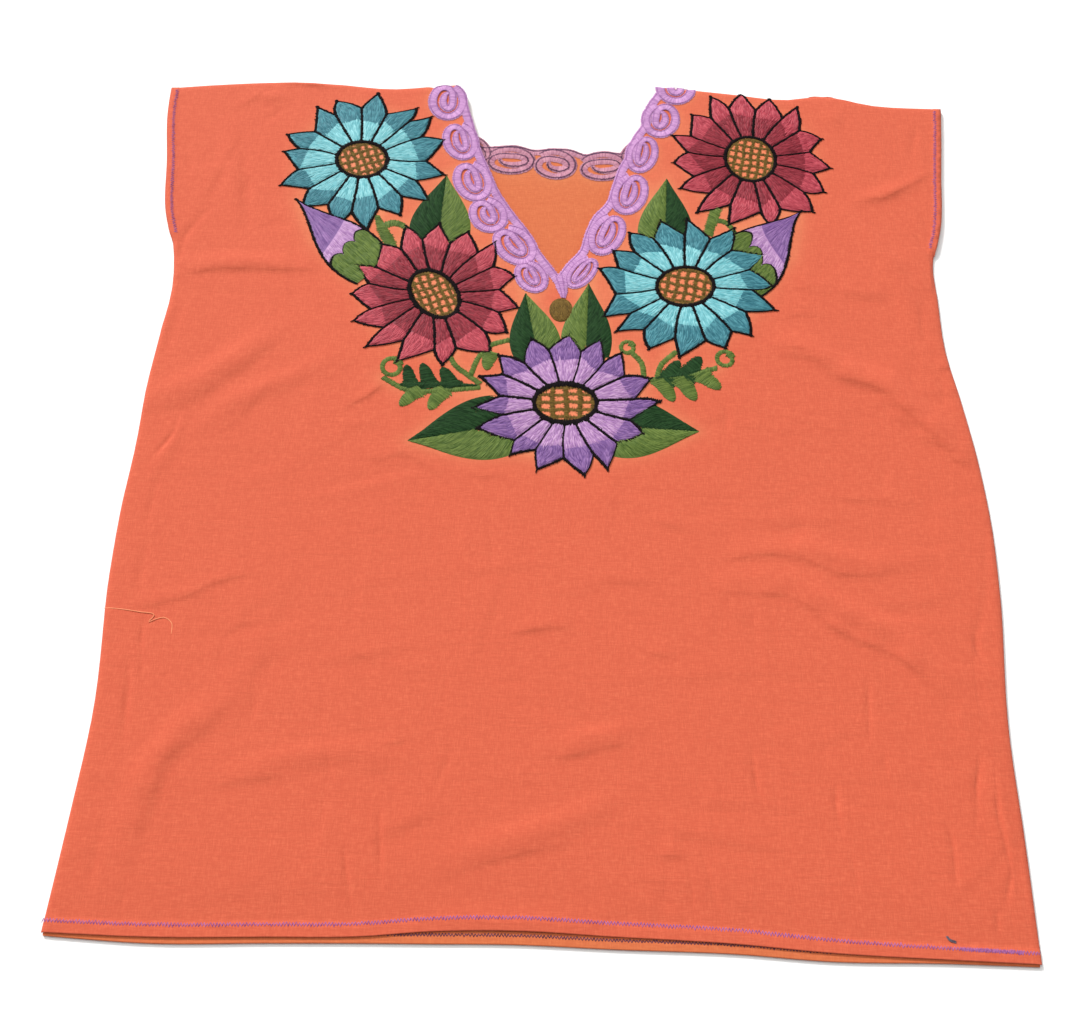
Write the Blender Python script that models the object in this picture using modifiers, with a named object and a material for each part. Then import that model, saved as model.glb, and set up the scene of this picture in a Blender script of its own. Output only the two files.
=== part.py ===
# Huipil blouse laid flat with its front up: one length of cotton folded at the shoulders, sewn at the
# sides below the armholes, with a scalloped V neck and an embroidered yoke.
# Frame: +X across the blouse, +Y from hem to neck, +Z up; the origin lies under the middle of its box.
# Sizes and tables are in millimetres, measured across from the centre line and up from the hem.
import math

import bmesh
import bpy
import numpy as np
from mathutils import Vector
from mathutils.geometry import delaunay_2d_cdt

# Driving dimensions
MM = 0.001
CLOTH = 1.0  # wall of the cloth
SEAM_GAP = 0.3  # between pieces that touch
THREAD = 0.9  # height of the satin stitch at its fullest
HEM_DEPTH = 7.0
HEM_STEP = 0.7  # width over which the hem's extra wall ends
HEM_FULLNESS = 1.3  # the folded hem against the single cloth
ARMHOLE_HEM = 5.0
ROLL = 3.0  # how far in from a seam or the shoulder the front rolls down
ROLL_LINES = (0.15, 0.5, 1.0)  # rows of points across the roll, as shares of it
TUCK = 1.2  # how far the back stays inside that roll
LOOSENESS = 0.6  # air between the two panels
YOKE_LIFT = 1.6  # the embroidered yoke stands this much higher
YOKE_MIDDLE, YOKE_ACROSS, YOKE_UP = 440.0, 170.0, 150.0
ARMHOLE_START = 438.0  # top of the side seams
SEAM_FADE = 9.0
MIDDLE_ACROSS, MIDDLE_UP = -1.88, 283.33  # middle of the laid blouse, which becomes the origin
FRONT_STEP = 24.0  # spacing of the mesh's points on the flat cloth
FOLD_STEP = 17.0  # and along a fold
HEM_REACH, HEM_POINTS = 245.0, 28
SIDE_POINTS, SHOULDER_POINTS = 36, 14
CORNER_ACROSS, CORNER_UP = 259.0, 560.0  # rough places of the hem's and the shoulder's corners
PETALS = 15

# Side edges: up, left across, right across
SIDES = [
    (-8, -258.5, 258.7),
    (60, -253.5, 258.0),
    (115, -250.3, 256.8),
    (200, -254.0, 261.7),
    (240, -253.7, 261.9),
    (285, -251.2, 258.7),
    (325, -250.5, 253.3),
    (365, -247.5, 246.8),
    (400, -244.7, 246.0),
    (430, -248.0, 245.6),
    (460, -256.0, 252.5),
    (500, -260.5, 256.6),
    (540, -265.5, 260.6),
    (575, -266.0, 263.5),
]
# Shoulder fold: across, up
SHOULDER = [
    (-266, 565.5),
    (-230, 569.5),
    (-185, 572.3),
    (-150, 571.0),
    (-115, 568.0),
    (-78, 572.0),
    (80, 573.5),
    (120, 569.5),
    (155, 565.7),
    (182, 569.4),
    (215, 562.5),
    (264, 560.5),
]
# Hem edges: across, up on the front, up on the back
HEMS = [
    (-259, -2.5, -4.0),
    (-200, -3.6, -6.7),
    (-140, -2.2, -5.2),
    (-95, -1.0, -4.2),
    (-55, 2.6, -3.6),
    (-15, 3.8, -3.0),
    (40, 2.0, -4.2),
    (100, 0.0, -5.0),
    (150, -3.4, -7.6),
    (210, -5.4, -7.2),
    (259, -6.6, -7.8),
]
# Folds of the front: height, half width, crest as across and up
FOLDS = [
    (3.2, 13, [(137, 371), (154, 366), (176, 351), (206, 338), (233, 309), (252, 290)]),
    (2.6, 12, [(190, 468), (213, 432), (226, 398), (236, 366)]),
    (2.4, 11, [(104, 203), (142, 205), (167, 188), (198, 174), (226, 147), (244, 112)]),
    (1.8, 10, [(116, 225), (150, 225), (186, 216), (218, 223)]),
    (2.2, 9, [(-242, 417), (-212, 420), (-184, 419), (-160, 416)]),
    (2.8, 13, [(-249, 316), (-221, 328), (-198, 346), (-174, 368)]),
    (2.0, 11, [(-213, 296), (-192, 318), (-164, 331), (-132, 352)]),
    (1.5, 7, [(-236, 262), (-229, 286), (-224, 308)]),
    (2.2, 12, [(-223, 42), (-215, 84), (-198, 110), (-168, 134)]),
    (1.6, 10, [(-172, 82), (-140, 93), (-102, 98), (-76, 95)]),
    (2.0, 11, [(-52, 40), (-16, 52), (16, 62), (40, 76)]),
    (1.5, 8, [(4, 103), (26, 108), (52, 115)]),
    (2.0, 11, [(-222, 532), (-216, 496), (-208, 456)]),
    (1.8, 9, [(246, 500), (224, 487), (198, 477)]),
    (2.2, 8, [(-204, 559), (-188, 556)]),
    (2.4, 13, [(188, 540), (184, 556)]),
    (2.6, 10, [(-62, 9), (-30, 10), (6, 9), (30, 9)]),
    (1.6, 7, [(246, 108), (245, 72), (250, 34)]),
]
FOLD_START = 0.06  # a fold keeps this share of its length's rise at its ends
FOLD_SWELL = 0.7  # below 1 a fold keeps its height for longer
FLOWER_CLEAR, FLOWER_FADE = 1.08, 0.25  # folds die away this close to a flower, in its radii
NECK_ENDS = (-92.0, 94.0)  # where the front's braid meets the shoulder fold
BACK_NECK = (-68.0, 69.0)  # where the back's edge meets it
BACK_NECK_LEFT, BACK_NECK_RIGHT = [(-62, 540)], [(61, 540)]
# Loops of the neck braid: across, up, half long, half wide, lean from upright in degrees
FRONT_LOOPS = [
    (-77.0, 554.5, 15.5, 13.0, 4),
    (-66.0, 523.5, 16.5, 11.8, 17),
    (-57.5, 491.0, 17.2, 12.6, 20),
    (-46.0, 464.0, 14.8, 12.2, 26),
    (-28.0, 440.0, 17.2, 12.6, 38),
    (-16.0, 413.5, 13.0, 9.8, 30),
    (79.0, 573.0, 14.5, 13.5, -8),
    (69.0, 544.0, 15.8, 12.8, -10),
    (55.0, 514.5, 16.2, 10.6, -12),
    (46.0, 483.0, 17.6, 11.8, -16),
    (31.5, 449.0, 17.4, 11.4, -22),
    (18.0, 418.5, 13.6, 8.0, -28),
]
BACK_LOOPS = [
    (-55.0, 519.0, 13.0, 9.0, 42),
    (-31.0, 510.0, 16.5, 11.6, 88),
    (-1.0, 507.5, 14.5, 12.4, 78),
    (31.0, 506.5, 16.5, 12.0, 95),
    (54.0, 518.0, 13.0, 9.0, -42),
]
# Where the braid's two ends meet at the bottom of the V: across, up
NECK_TIP = (4.6, 402.0)
TIP_BANDS = ((-12.0, 426.0), (19.0, 425.0))
BRAID = 5.5  # width of the bands
BAND_SIDE = 0.5  # the bands run this share of a loop towards the neck
BRAID_MARGIN = 0.4  # cloth that shows past the braid's edge
BRAID_FULLNESS = 0.9
LOOP_POINTS = 12
SLIT_LONG, SLIT_WIDE = 0.42, 0.16  # open middle of a loop as shares of its size
# Flowers: across, up, radius across, radius up, turn of the first petal in degrees,
# disc across, disc up, turn of the disc, petal colour
FLOWERS = {
    "flower_shoulder_left": (-130.5, 505.5, 54.5, 55.5, 11, 15.5, 14.5, 0, "teal"),
    "flower_shoulder_right": (129.0, 512.5, 53.5, 56.0, 5, 15.5, 17.5, 0, "rose"),
    "flower_chest_left": (-77.0, 399.0, 54.5, 53.5, 17, 18.0, 13.0, -57, "rose"),
    "flower_chest_right": (82.5, 409.5, 57.0, 52.5, 14, 17.0, 14.5, 10, "teal"),
    "flower_lower": (7.0, 322.0, 55.0, 49.5, 21, 17.5, 13.0, 0, "violet"),
}
NOTCH = 0.74  # where neighbouring petals part, as a share of the radius
PETAL_BELLY = 0.7  # below 1 the petal's side bows out
PETAL_UNEVEN = 0.035  # how much petals differ in length
PETAL_LOW = 0.55  # height of the stitch where petals meet, as a share of its fullest
DISC_EDGE = 0.65  # the same at a disc's edge
LEAF_LOW = 0.6  # and at a leaf's edge and midrib
FLAT_STITCH = 0.8  # calyxes and sprigs are this full all over
BALL = (4.6, 390.5, 7.5, 7.5, 0)
# Calyx behind each bud: across, up, radius, direction of the first lobe, lobe spacing, in degrees
CALYXES = {
    "calyx_left": (-112, 424, 35, 122, 28),
    "calyx_right": (105, 425, 34, -6, 30),
}
CALYX_LOBES = 3
CALYX_NOTCH = 0.16  # depth between lobes as a share of the radius
# Buds, then leaves: tip across, tip up, root across, root up, half width, sideways bow
BUDS = {
    "bud_left": (-172, 472, -112, 424, 20, 3),
    "bud_right": (160, 471, 108, 422, 20, -3),
}
LEAVES = {
    "leaf_chest_left": (-74, 495, -77, 428, 20, 0),
    "leaf_chest_right": (73, 495, 70, 428, 17, 0),
    "leaf_neck_left": (-19, 400, -8, 345, 16, 0),
    "leaf_neck_right": (22, 408, 28, 345, 14, 0),
    "leaf_waist_left": (-87, 294, -12, 310, 22, 0),
    "leaf_waist_right": (89, 303, 22, 306, 21, 0),
}
LEAF_CLOSING = 0.75  # how far a leaf closes again towards its root; 0.5 leaves it open
LEAF_TAPER = 1.2  # above 1 the tip is drawn out
# Sprigs: stems as across and up; lobes as across, up, half long, half wide, lean; scroll rings as
# across, up, radius, band
SPRIGS = {
    "sprig_left": (
        [
            [(-44, 331), (-66, 329), (-90, 331), (-104, 339)],
            [(-66, 359), (-60, 347), (-50, 340), (-44, 333)],
            [(-50, 340), (-45, 354), (-38, 362), (-27, 366)],
        ],
        [
            (-90, 339, 9, 4.2, 10),
            (-78, 339, 10, 4.2, 25),
            (-66, 338, 10, 4.2, 30),
            (-82.5, 324.5, 10.5, 4.4, 118),
            (-68, 323, 10, 4.2, 125),
            (-39, 352, 7, 5.0, 0),
        ],
        [(-99, 346, 7.5, 3.0)],
    ),
    "sprig_right": (
        [
            [(47, 341), (62, 342), (80, 344), (99, 350)],
            [(62, 342), (64, 350), (74, 361)],
            [(54, 342), (53, 353), (46, 361)],
        ],
        [
            (76, 350, 10, 4.2, -40),
            (89, 353, 11, 4.6, -38),
            (98, 342, 11, 4.4, -104),
            (81.5, 336.5, 11, 4.4, -118),
            (68.5, 335.5, 9, 4.2, -135),
        ],
        [(105, 356, 6.5, 2.8), (45, 363, 5.5, 2.6)],
    ),
    "stem_chest_left": ([[(-116, 458), (-110, 447), (-105, 436)], [(-113, 453), (-98, 455)]], [], []),
    "stem_chest_right": ([[(106, 471), (101, 452)], [(103, 460), (111, 459), (117, 450)]], [], []),
}
STEM = 3.4
# Finishes: red, green, blue as shown on screen, roughness
FINISHES = {
    "cotton": (0.90, 0.42, 0.31, 0.85),
    "cotton_inside": (0.92, 0.48, 0.31, 0.85),
    "teal": (0.36, 0.66, 0.72, 0.5),
    "rose": (0.76, 0.30, 0.37, 0.5),
    "violet": (0.66, 0.45, 0.77, 0.5),
    "lavender": (0.80, 0.59, 0.82, 0.5),
    "plum": (0.45, 0.30, 0.47, 0.55),
    "leaf": (0.30, 0.45, 0.21, 0.55),
    "seed": (0.55, 0.40, 0.18, 0.6),
}


def clear_scene():
    for old in list(bpy.data.objects):
        bpy.data.objects.remove(old, do_unlink=True)


def finish(name):
    """A Principled material from the table; screen colours are taken to linear ones."""
    found = bpy.data.materials.get(name)
    if found:
        return found
    *screen, roughness = FINISHES[name]
    made = bpy.data.materials.new(name)
    made.use_nodes = True
    shader = made.node_tree.nodes["Principled BSDF"]
    linear = [((c + 0.055) / 1.055) ** 2.4 for c in screen]
    shader.inputs["Base Color"].default_value = (*linear, 1.0)
    shader.inputs["Roughness"].default_value = roughness
    shader.inputs["Metallic"].default_value = 0.0
    return made


def smooth(table, at, column=1):
    """Cubic curve through a table's rows, read at one or many places of its first column."""
    rows = np.array(table, float)
    places, values = rows[:, 0], rows[:, column]
    slopes = np.gradient(values, places)
    at = np.clip(at, places[0], places[-1])
    i = np.clip(np.searchsorted(places, at) - 1, 0, len(places) - 2)
    span = places[i + 1] - places[i]
    t = (at - places[i]) / span
    rise = (2 * t**3 - 3 * t**2 + 1) * values[i] + (3 * t**2 - 2 * t**3) * values[i + 1]
    return rise + span * (t * (1 - t) ** 2 * slopes[i] - t**2 * (1 - t) * slopes[i + 1])


def fade(t):
    t = np.clip(t, 0.0, 1.0)
    return t * t * (3 - 2 * t)


def distance(points, line):
    """Shortest distance from each point to a polyline, and how far along it the foot lies, 0 to 1."""
    line = np.array(line, float)
    starts, steps = line[:-1], np.diff(line, axis=0)
    lengths = np.hypot(*steps.T)
    ahead = points[:, None] - starts
    t = np.clip((ahead * steps).sum(2) / lengths**2, 0, 1)
    apart = np.hypot(*np.moveaxis(ahead - t[..., None] * steps, 2, 0))
    nearest = apart.argmin(1)
    row = np.arange(len(points))
    travelled = np.concatenate([[0], np.cumsum(lengths)])
    return apart[row, nearest], (travelled[nearest] + (t * lengths)[row, nearest]) / travelled[-1]


def spaced(line, step):
    """Points along a polyline about one step apart, both ends included."""
    line = np.array(line, float)
    travelled = np.concatenate([[0], np.cumsum(np.hypot(*np.diff(line, axis=0).T))])
    wanted = np.linspace(0, travelled[-1], max(2, round(travelled[-1] / step) + 1))
    return np.stack([np.interp(wanted, travelled, line[:, k]) for k in (0, 1)], axis=1)


def ellipse(across, up, long, wide, lean, count):
    """Ring of an ellipse whose long axis leans from upright towards -X."""
    turn = np.linspace(0, 2 * math.pi, count, endpoint=False)
    side, rise = wide * np.cos(turn), long * np.sin(turn)
    c, s = math.cos(math.radians(lean)), math.sin(math.radians(lean))
    return np.stack([across + side * c - rise * s, up + side * s + rise * c], axis=1)


def strip(line, width):
    """Ring round a polyline: its points moved half the width to each side."""
    line = np.array(line, float)
    way = np.gradient(line, axis=0)
    way /= np.hypot(*way.T)[:, None]
    side = np.stack([-way[:, 1], way[:, 0]], axis=1) * width / 2
    return np.concatenate([line - side, (line + side)[::-1]])


def leaf_ring(tip_across, tip_up, root_across, root_up, half, bow, closing):
    """Ring and midrib: the half width is half * sin(closing * pi * t) ** LEAF_TAPER from the tip."""
    t = np.linspace(0, 1, 10)
    tip, root = np.array([tip_across, tip_up]), np.array([root_across, root_up])
    way = (root - tip) / np.hypot(*(root - tip))
    side = np.array([-way[1], way[0]])
    rib = tip + np.outer(t, root - tip) + np.outer(bow * np.sin(math.pi * t), side)
    spread = half * np.sin(closing * math.pi * t) ** LEAF_TAPER
    edge = np.outer(spread, side)
    return np.concatenate([rib + edge, (rib - edge)[:0:-1]]), rib


def flower_ring(across, up, radius_across, radius_up, turn):
    """Ring of a flower: each petal rises from its notch as (1 - |offset|) ** PETAL_BELLY to a point."""
    offsets = np.array([-1.0, -0.55, 0.0, 0.55])
    petal = np.repeat(np.arange(PETALS), len(offsets))
    offset = np.tile(offsets, PETALS)
    reach = 1.0 + PETAL_UNEVEN * np.sin(petal * 2.4 + turn)
    share = NOTCH + (reach - NOTCH) * (1 - np.abs(offset)) ** PETAL_BELLY
    angle = math.radians(turn) + (petal + offset / 2) * 2 * math.pi / PETALS
    side, rise = radius_across * share * np.cos(angle), radius_up * share * np.sin(angle)
    return np.stack([across + side, up + rise], axis=1)


def calyx_ring(across, up, radius, first, spacing):
    """Ring of a fan of round lobes: radius * (1 - CALYX_NOTCH * (1 - |cos|)), one arch for each lobe."""
    turn = np.linspace(-0.5, CALYX_LOBES - 0.5, 6 * CALYX_LOBES + 1)
    reach = radius * (1 - CALYX_NOTCH * (1 - np.abs(np.cos(math.pi * turn))))
    angle = np.radians(first + turn * spacing)
    fan = np.stack([across + reach * np.cos(angle), up + reach * np.sin(angle)], axis=1)
    return np.concatenate([fan, [(across, up)]])


def level(share):
    """The same height all over, as a share of the fullest."""
    return lambda flat: share + 0 * flat[:, 0]


def counter_clockwise(ring):
    x, y = np.asarray(ring, float).T
    area = (x * np.roll(y, -1) - y * np.roll(x, -1)).sum()
    return np.asarray(ring if area > 0 else ring[::-1], float)


def grow(ring, by):
    """The ring moved outwards, by at most twice the distance at a sharp corner."""
    ring = counter_clockwise(ring)
    edge = np.roll(ring, -1, axis=0) - ring
    normal = np.stack([edge[:, 1], -edge[:, 0]], axis=1) / np.hypot(*edge.T)[:, None]
    corner = normal + np.roll(normal, 1, axis=0)
    size = np.maximum(np.hypot(*corner.T), 1e-6)[:, None]
    return ring + corner / size * by / np.clip(size / 2, 0.5, 1.0)


def side_across(up, side):
    return smooth(SIDES, up, 1 if side < 0 else 2)


def seam_share(up):
    """1 below the armhole, where the side is sewn, fading to 0 where it is open."""
    return 1 - fade((up - ARMHOLE_START) / SEAM_FADE + 0.5)


def side_line(side, low, high, inset, count):
    ups = np.linspace(low, high, count)
    return np.stack([side_across(ups, side) - side * inset, ups], axis=1)


def shoulder_line(start, end, inset, count):
    across = np.linspace(start, end, count)
    return np.stack([across, smooth(SHOULDER, across) - inset], axis=1)


def panel_outline(inset_seam, inset_armhole, hem_column, neck):
    """Ring of a panel: hem, right side, right shoulder, the neck's points, left shoulder, left side."""
    across = np.linspace(-HEM_REACH, HEM_REACH, HEM_POINTS)
    ring = list(np.stack([across, smooth(HEMS, across, hem_column)], axis=1))
    for side, end in ((1, neck[0]), (-1, neck[-1])):
        low = smooth(HEMS, side * CORNER_ACROSS, hem_column)
        high = smooth(SHOULDER, side_across(CORNER_UP, side)) - inset_seam
        edge = side_line(side, low, high, 0, SIDE_POINTS)
        sewn = seam_share(edge[:, 1])
        edge[:, 0] -= side * (inset_seam * sewn + inset_armhole * (1 - sewn))
        shoulder = shoulder_line(edge[-1, 0], end[0], inset_seam, SHOULDER_POINTS)[1:-1]
        if side > 0:
            ring += [*edge, *shoulder, *neck]
        else:
            ring += [*shoulder[::-1], *edge[::-1]]
    return np.array(ring)


def front_under(flat):
    """Height of the front's under face: the wall below it, the air, the yoke, the folds and the roll."""
    x, y = flat.T
    yoke = np.exp(-((x / YOKE_ACROSS) ** 4) - ((y - YOKE_MIDDLE) / YOKE_UP) ** 4)
    folds = 0 * x
    for tall, half, crest in FOLDS:
        apart, along = distance(flat, crest)
        bell = np.cos(np.clip(apart / half, 0, 1) * math.pi / 2) ** 2
        swell = np.sin(math.pi * np.clip(along, FOLD_START, 1 - FOLD_START)) ** FOLD_SWELL
        folds += tall * bell * swell
    from_flower = [np.hypot((x - a) / ra, (y - u) / ru) for a, u, ra, ru, *_ in FLOWERS.values()]
    folds *= fade((np.min(from_flower, axis=0) - FLOWER_CLEAR) / FLOWER_FADE)
    height = CLOTH + SEAM_GAP + LOOSENESS + YOKE_LIFT * yoke + folds
    for side in (-1, 1):
        apart, _ = distance(flat, side_line(side, -20, ARMHOLE_START + SEAM_FADE, CLOTH, 40))
        height = height * (1 - seam_share(y) * (1 - roll_curve(apart)))
    apart, _ = distance(flat, shoulder_line(-275, 275, CLOTH, 48))
    return height * roll_curve(apart)


def roll_curve(apart):
    """A quarter round, from 0 at the fold to 1 a ROLL away."""
    return np.sqrt(1 - (1 - np.clip(apart / ROLL, 0, 1)) ** 2)


def triangulate(shapes, cuts=(), lines=(), points=()):
    """Triangles that lie in any of the shapes and in none of the cuts, with the lines as edges."""
    coords, edges, rings = [], [], []
    for ring in [*shapes, *cuts]:
        rings.append(list(range(len(coords), len(coords) + len(ring))))
        coords += [Vector(p) for p in counter_clockwise(ring)]
    for line in lines:
        edges += [(i, i + 1) for i in range(len(coords), len(coords) + len(line) - 1)]
        coords += [Vector(p) for p in line]
    coords += [Vector(p) for p in points]
    found, _, triangles, _, _, owners = delaunay_2d_cdt(coords, edges, rings, 0, 1e-3)
    kept = [
        tuple(triangle)
        for triangle, inside in zip(triangles, owners)
        if inside and min(inside) < len(shapes) and max(inside) < len(shapes)
    ]
    return np.array(found, float), largest_island(kept)


def largest_island(triangles):
    """The biggest group of triangles that share edges."""
    by_edge = {}
    for i, (a, b, c) in enumerate(triangles):
        for edge in ((a, b), (b, c), (c, a)):
            by_edge.setdefault(frozenset(edge), []).append(i)
    waiting, best = set(range(len(triangles))), []
    while waiting:
        group, stack = [], [waiting.pop()]
        while stack:
            i = stack.pop()
            group.append(i)
            a, b, c = triangles[i]
            for edge in ((a, b), (b, c), (c, a)):
                beside = [j for j in by_edge[frozenset(edge)] if j in waiting]
                waiting.difference_update(beside)
                stack += beside
        best = max(best, group, key=len)
    return [triangles[i] for i in best]


def sheet_object(name, colour, layout, under, thickness, fullness):
    """A closed solid: the flat layout lifted to its under face, then thickened upwards by Solidify."""
    flat, triangles = layout
    used = sorted({i for triangle in triangles for i in triangle})
    place = {old: new for new, old in enumerate(used)}
    flat = flat[used]
    spots = np.column_stack([flat - (MIDDLE_ACROSS, MIDDLE_UP), under(flat)]) * MM
    mesh = bpy.data.meshes.new(name)
    mesh.from_pydata(spots.tolist(), [], [[place[i] for i in t] for t in triangles])
    mesh.materials.append(finish(colour))
    work = bmesh.new()
    work.from_mesh(mesh)
    bmesh.ops.reverse_faces(work, faces=[face for face in work.faces if face.normal.z < 0])
    work.to_mesh(mesh)
    work.free()
    mesh.shade_smooth()
    mesh.set_sharp_from_angle(angle=math.radians(50))
    made = bpy.data.objects.new(name, mesh)
    collection.objects.link(made)
    group = made.vertex_groups.new(name="fullness")
    for i, weight in enumerate(fullness(flat)):
        group.add([i], float(weight), "REPLACE")
    wall = made.modifiers.new("wall", "SOLIDIFY")
    wall.thickness = thickness * MM
    wall.offset = 1.0
    wall.vertex_group = group.name


def edge_fullness(flat, hem_column):
    """Share of the folded hem's wall: whole along the hem and the armholes, less elsewhere."""
    x, y = flat.T
    in_hem = 1 - fade((y - smooth(HEMS, x, hem_column) - HEM_DEPTH) / HEM_STEP + 0.5)
    from_side = np.minimum(x - side_across(y, -1), side_across(y, 1) - x)
    in_armhole = (1 - fade((from_side - ARMHOLE_HEM) / HEM_STEP + 0.5)) * (1 - seam_share(y))
    return (1 + (HEM_FULLNESS - 1) * np.maximum(in_hem, in_armhole)) / HEM_FULLNESS


def hem_lines(hem_column):
    """Lines just before and just after the step from a hem to the single cloth."""
    lines = []
    across = np.linspace(-262, 262, 30)
    for step in (-HEM_STEP / 2, HEM_STEP / 2):
        rise = smooth(HEMS, across, hem_column) + HEM_DEPTH + step
        lines.append(np.stack([across, rise], axis=1))
        lines += [side_line(s, ARMHOLE_START, 575, ARMHOLE_HEM + step, 11) for s in (-1, 1)]
    return lines


def roll_lines():
    """Lines along the side seams and the shoulder where the front rolls down."""
    lines = []
    for share in ROLL_LINES:
        inset = CLOTH + share * ROLL
        lines += [side_line(s, -20, ARMHOLE_START + SEAM_FADE, inset, 30) for s in (-1, 1)]
        lines += [shoulder_line(start, end, inset, 16) for start, end in ((-275, -62), (62, 275))]
    return lines


def fold_points():
    """Rows of points along each fold's crest, flanks and feet."""
    rows = []
    for _, half, crest in FOLDS:
        spots = spaced(crest, FOLD_STEP)
        way = np.gradient(spots, axis=0)
        side = np.stack([-way[:, 1], way[:, 0]], axis=1) / np.hypot(*way.T)[:, None]
        rows += [spots + share * half * side for share in (-1, -0.5, 0, 0.5, 1)]
    return np.concatenate(rows)


def grid_points():
    """A staggered grid over the front, left open where the folds have their own points."""
    across = np.arange(-240, 241, FRONT_STEP)
    ups = np.arange(20, 560, FRONT_STEP * math.sin(math.radians(60)))
    grid = np.array([(a + (i % 2) * FRONT_STEP / 2, u) for i, u in enumerate(ups) for a in across])
    for _, half, crest in FOLDS:
        grid = grid[distance(grid, crest)[0] > half + FOLD_STEP / 2]
    return grid


def over_neck(inset):
    """Ring of what lies past the shoulder fold across the neck."""
    edge = shoulder_line(*NECK_ENDS, inset, 20)
    return np.concatenate([edge, [(NECK_ENDS[1], 620), (NECK_ENDS[0], 620)]])


def braid_rings(loops, by):
    """Rings of the braid's loops, grown by the given width."""
    return [ellipse(a, u, long + by, wide + by, lean, LOOP_POINTS) for a, u, long, wide, lean in loops]


def braid_bands(loops, by):
    """Rings of the bands that join neighbouring loops along the edge of the neck."""
    bands = []
    for (a, u, _, wide, _), (next_a, next_u, _, next_wide, _) in zip(loops, loops[1:]):
        if a * next_a > 0 or loops is BACK_LOOPS:
            side = -math.copysign(BAND_SIDE, a) if loops is FRONT_LOOPS else 0
            bands.append(strip([(a + side * wide, u), (next_a + side * next_wide, next_u)],
                               BRAID + 2 * by))
    return bands


def tip_bands(by):
    """Rings of the bands that run from the last loop on each side to the tip of the V."""
    return [strip([start, NECK_TIP], BRAID + 2 * by) for start in TIP_BANDS]


def make_back():
    ends = [(a, smooth(SHOULDER, a) - CLOTH - TUCK) for a in BACK_NECK]
    neck = [ends[1], *BACK_NECK_RIGHT, *[row[:2] for row in BACK_LOOPS[::-1]], *BACK_NECK_LEFT, ends[0]]
    outline = panel_outline(CLOTH + TUCK, TUCK, 2, neck)
    braid = braid_rings(BACK_LOOPS, BRAID_MARGIN) + braid_bands(BACK_LOOPS, BRAID_MARGIN)
    layout = triangulate([outline, *braid], (), hem_lines(2))
    sheet_object("back_panel", "cotton_inside", layout, level(0.0),
                 CLOTH * HEM_FULLNESS, lambda flat: edge_fullness(flat, 2))


def make_front():
    right = [row[:2] for row in FRONT_LOOPS if row[0] > 0 and row[1] < 560]
    left = [row[:2] for row in FRONT_LOOPS if row[0] < 0]
    ends = [(a, smooth(SHOULDER, a) - CLOTH) for a in NECK_ENDS]
    outline = panel_outline(CLOTH, 0.0, 1, [ends[1], *right, NECK_TIP, *left[::-1], ends[0]])
    shapes = [outline, *braid_rings(FRONT_LOOPS, BRAID_MARGIN), *tip_bands(BRAID_MARGIN)]
    shapes += braid_bands(FRONT_LOOPS, BRAID_MARGIN)
    loose = np.concatenate([fold_points(), grid_points()])
    loose = loose[distance(loose, np.concatenate([outline, outline[:1]]))[0] > 7]
    layout = triangulate(shapes, [over_neck(CLOTH)], hem_lines(1) + roll_lines(), loose)
    sheet_object("front_panel", "cotton", layout, front_under,
                 CLOTH * HEM_FULLNESS, lambda flat: edge_fullness(flat, 1))


def over_shoulder():
    """Ring of what lies past the start of the shoulder's roll, where no stitch is laid."""
    edge = shoulder_line(-275, 275, CLOTH + ROLL, 24)
    return np.concatenate([edge, [(275, 640), (-275, 640)]])


class Panel:
    """A panel that carries satin stitch: the height of its top, and the rings already laid on it."""

    def __init__(self, top, beyond=()):
        self.top = top
        self.beyond = list(beyond)
        self.laid = []

    def lay(self, name, colour, shapes, fullness, holes=(), lines=(), points=()):
        """Adds a piece a seam gap above the panel, cut back from the pieces already there."""
        low = np.min([ring.min(0) for ring in shapes], axis=0) - 2
        high = np.max([ring.max(0) for ring in shapes], axis=0) + 2
        near = [r for r in self.laid if (r.min(0) < high).all() and (r.max(0) > low).all()]
        cuts = [grow(ring, 2 * SEAM_GAP) for ring in near] + [*holes, *self.beyond]
        layout = triangulate(shapes, cuts, lines, points)
        sheet_object(name, colour, layout, lambda flat: self.top(flat) + SEAM_GAP, THREAD, fullness)
        self.laid += shapes


def lay_braid(panel, name, colour, loops, bands):
    """The braid: loops joined in a chain, each with a slit in its middle."""
    slits = [ellipse(a, u, SLIT_LONG * long, SLIT_WIDE * long, lean, 8) for a, u, long, _, lean in loops]
    shapes = braid_rings(loops, 0) + braid_bands(loops, 0) + bands
    panel.lay(name, colour, shapes, level(BRAID_FULLNESS), holes=slits)


def lay_disc(panel, name, colour, across, up, long, wide, lean):
    """A low dome on an ellipse: a ring of points at 0.6 of its size, and one in its middle."""
    inner = ellipse(across, up, 0.6 * long, 0.6 * wide, lean, 10)

    def dome(flat):
        from_middle = np.hypot(*(flat - (across, up)).T)
        return 1 - (1 - DISC_EDGE) * np.clip(from_middle / long, 0, 1)

    panel.lay(name, colour, [ellipse(across, up, long, wide, lean, 22)], dome,
              points=[*inner, (across, up)])


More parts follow.
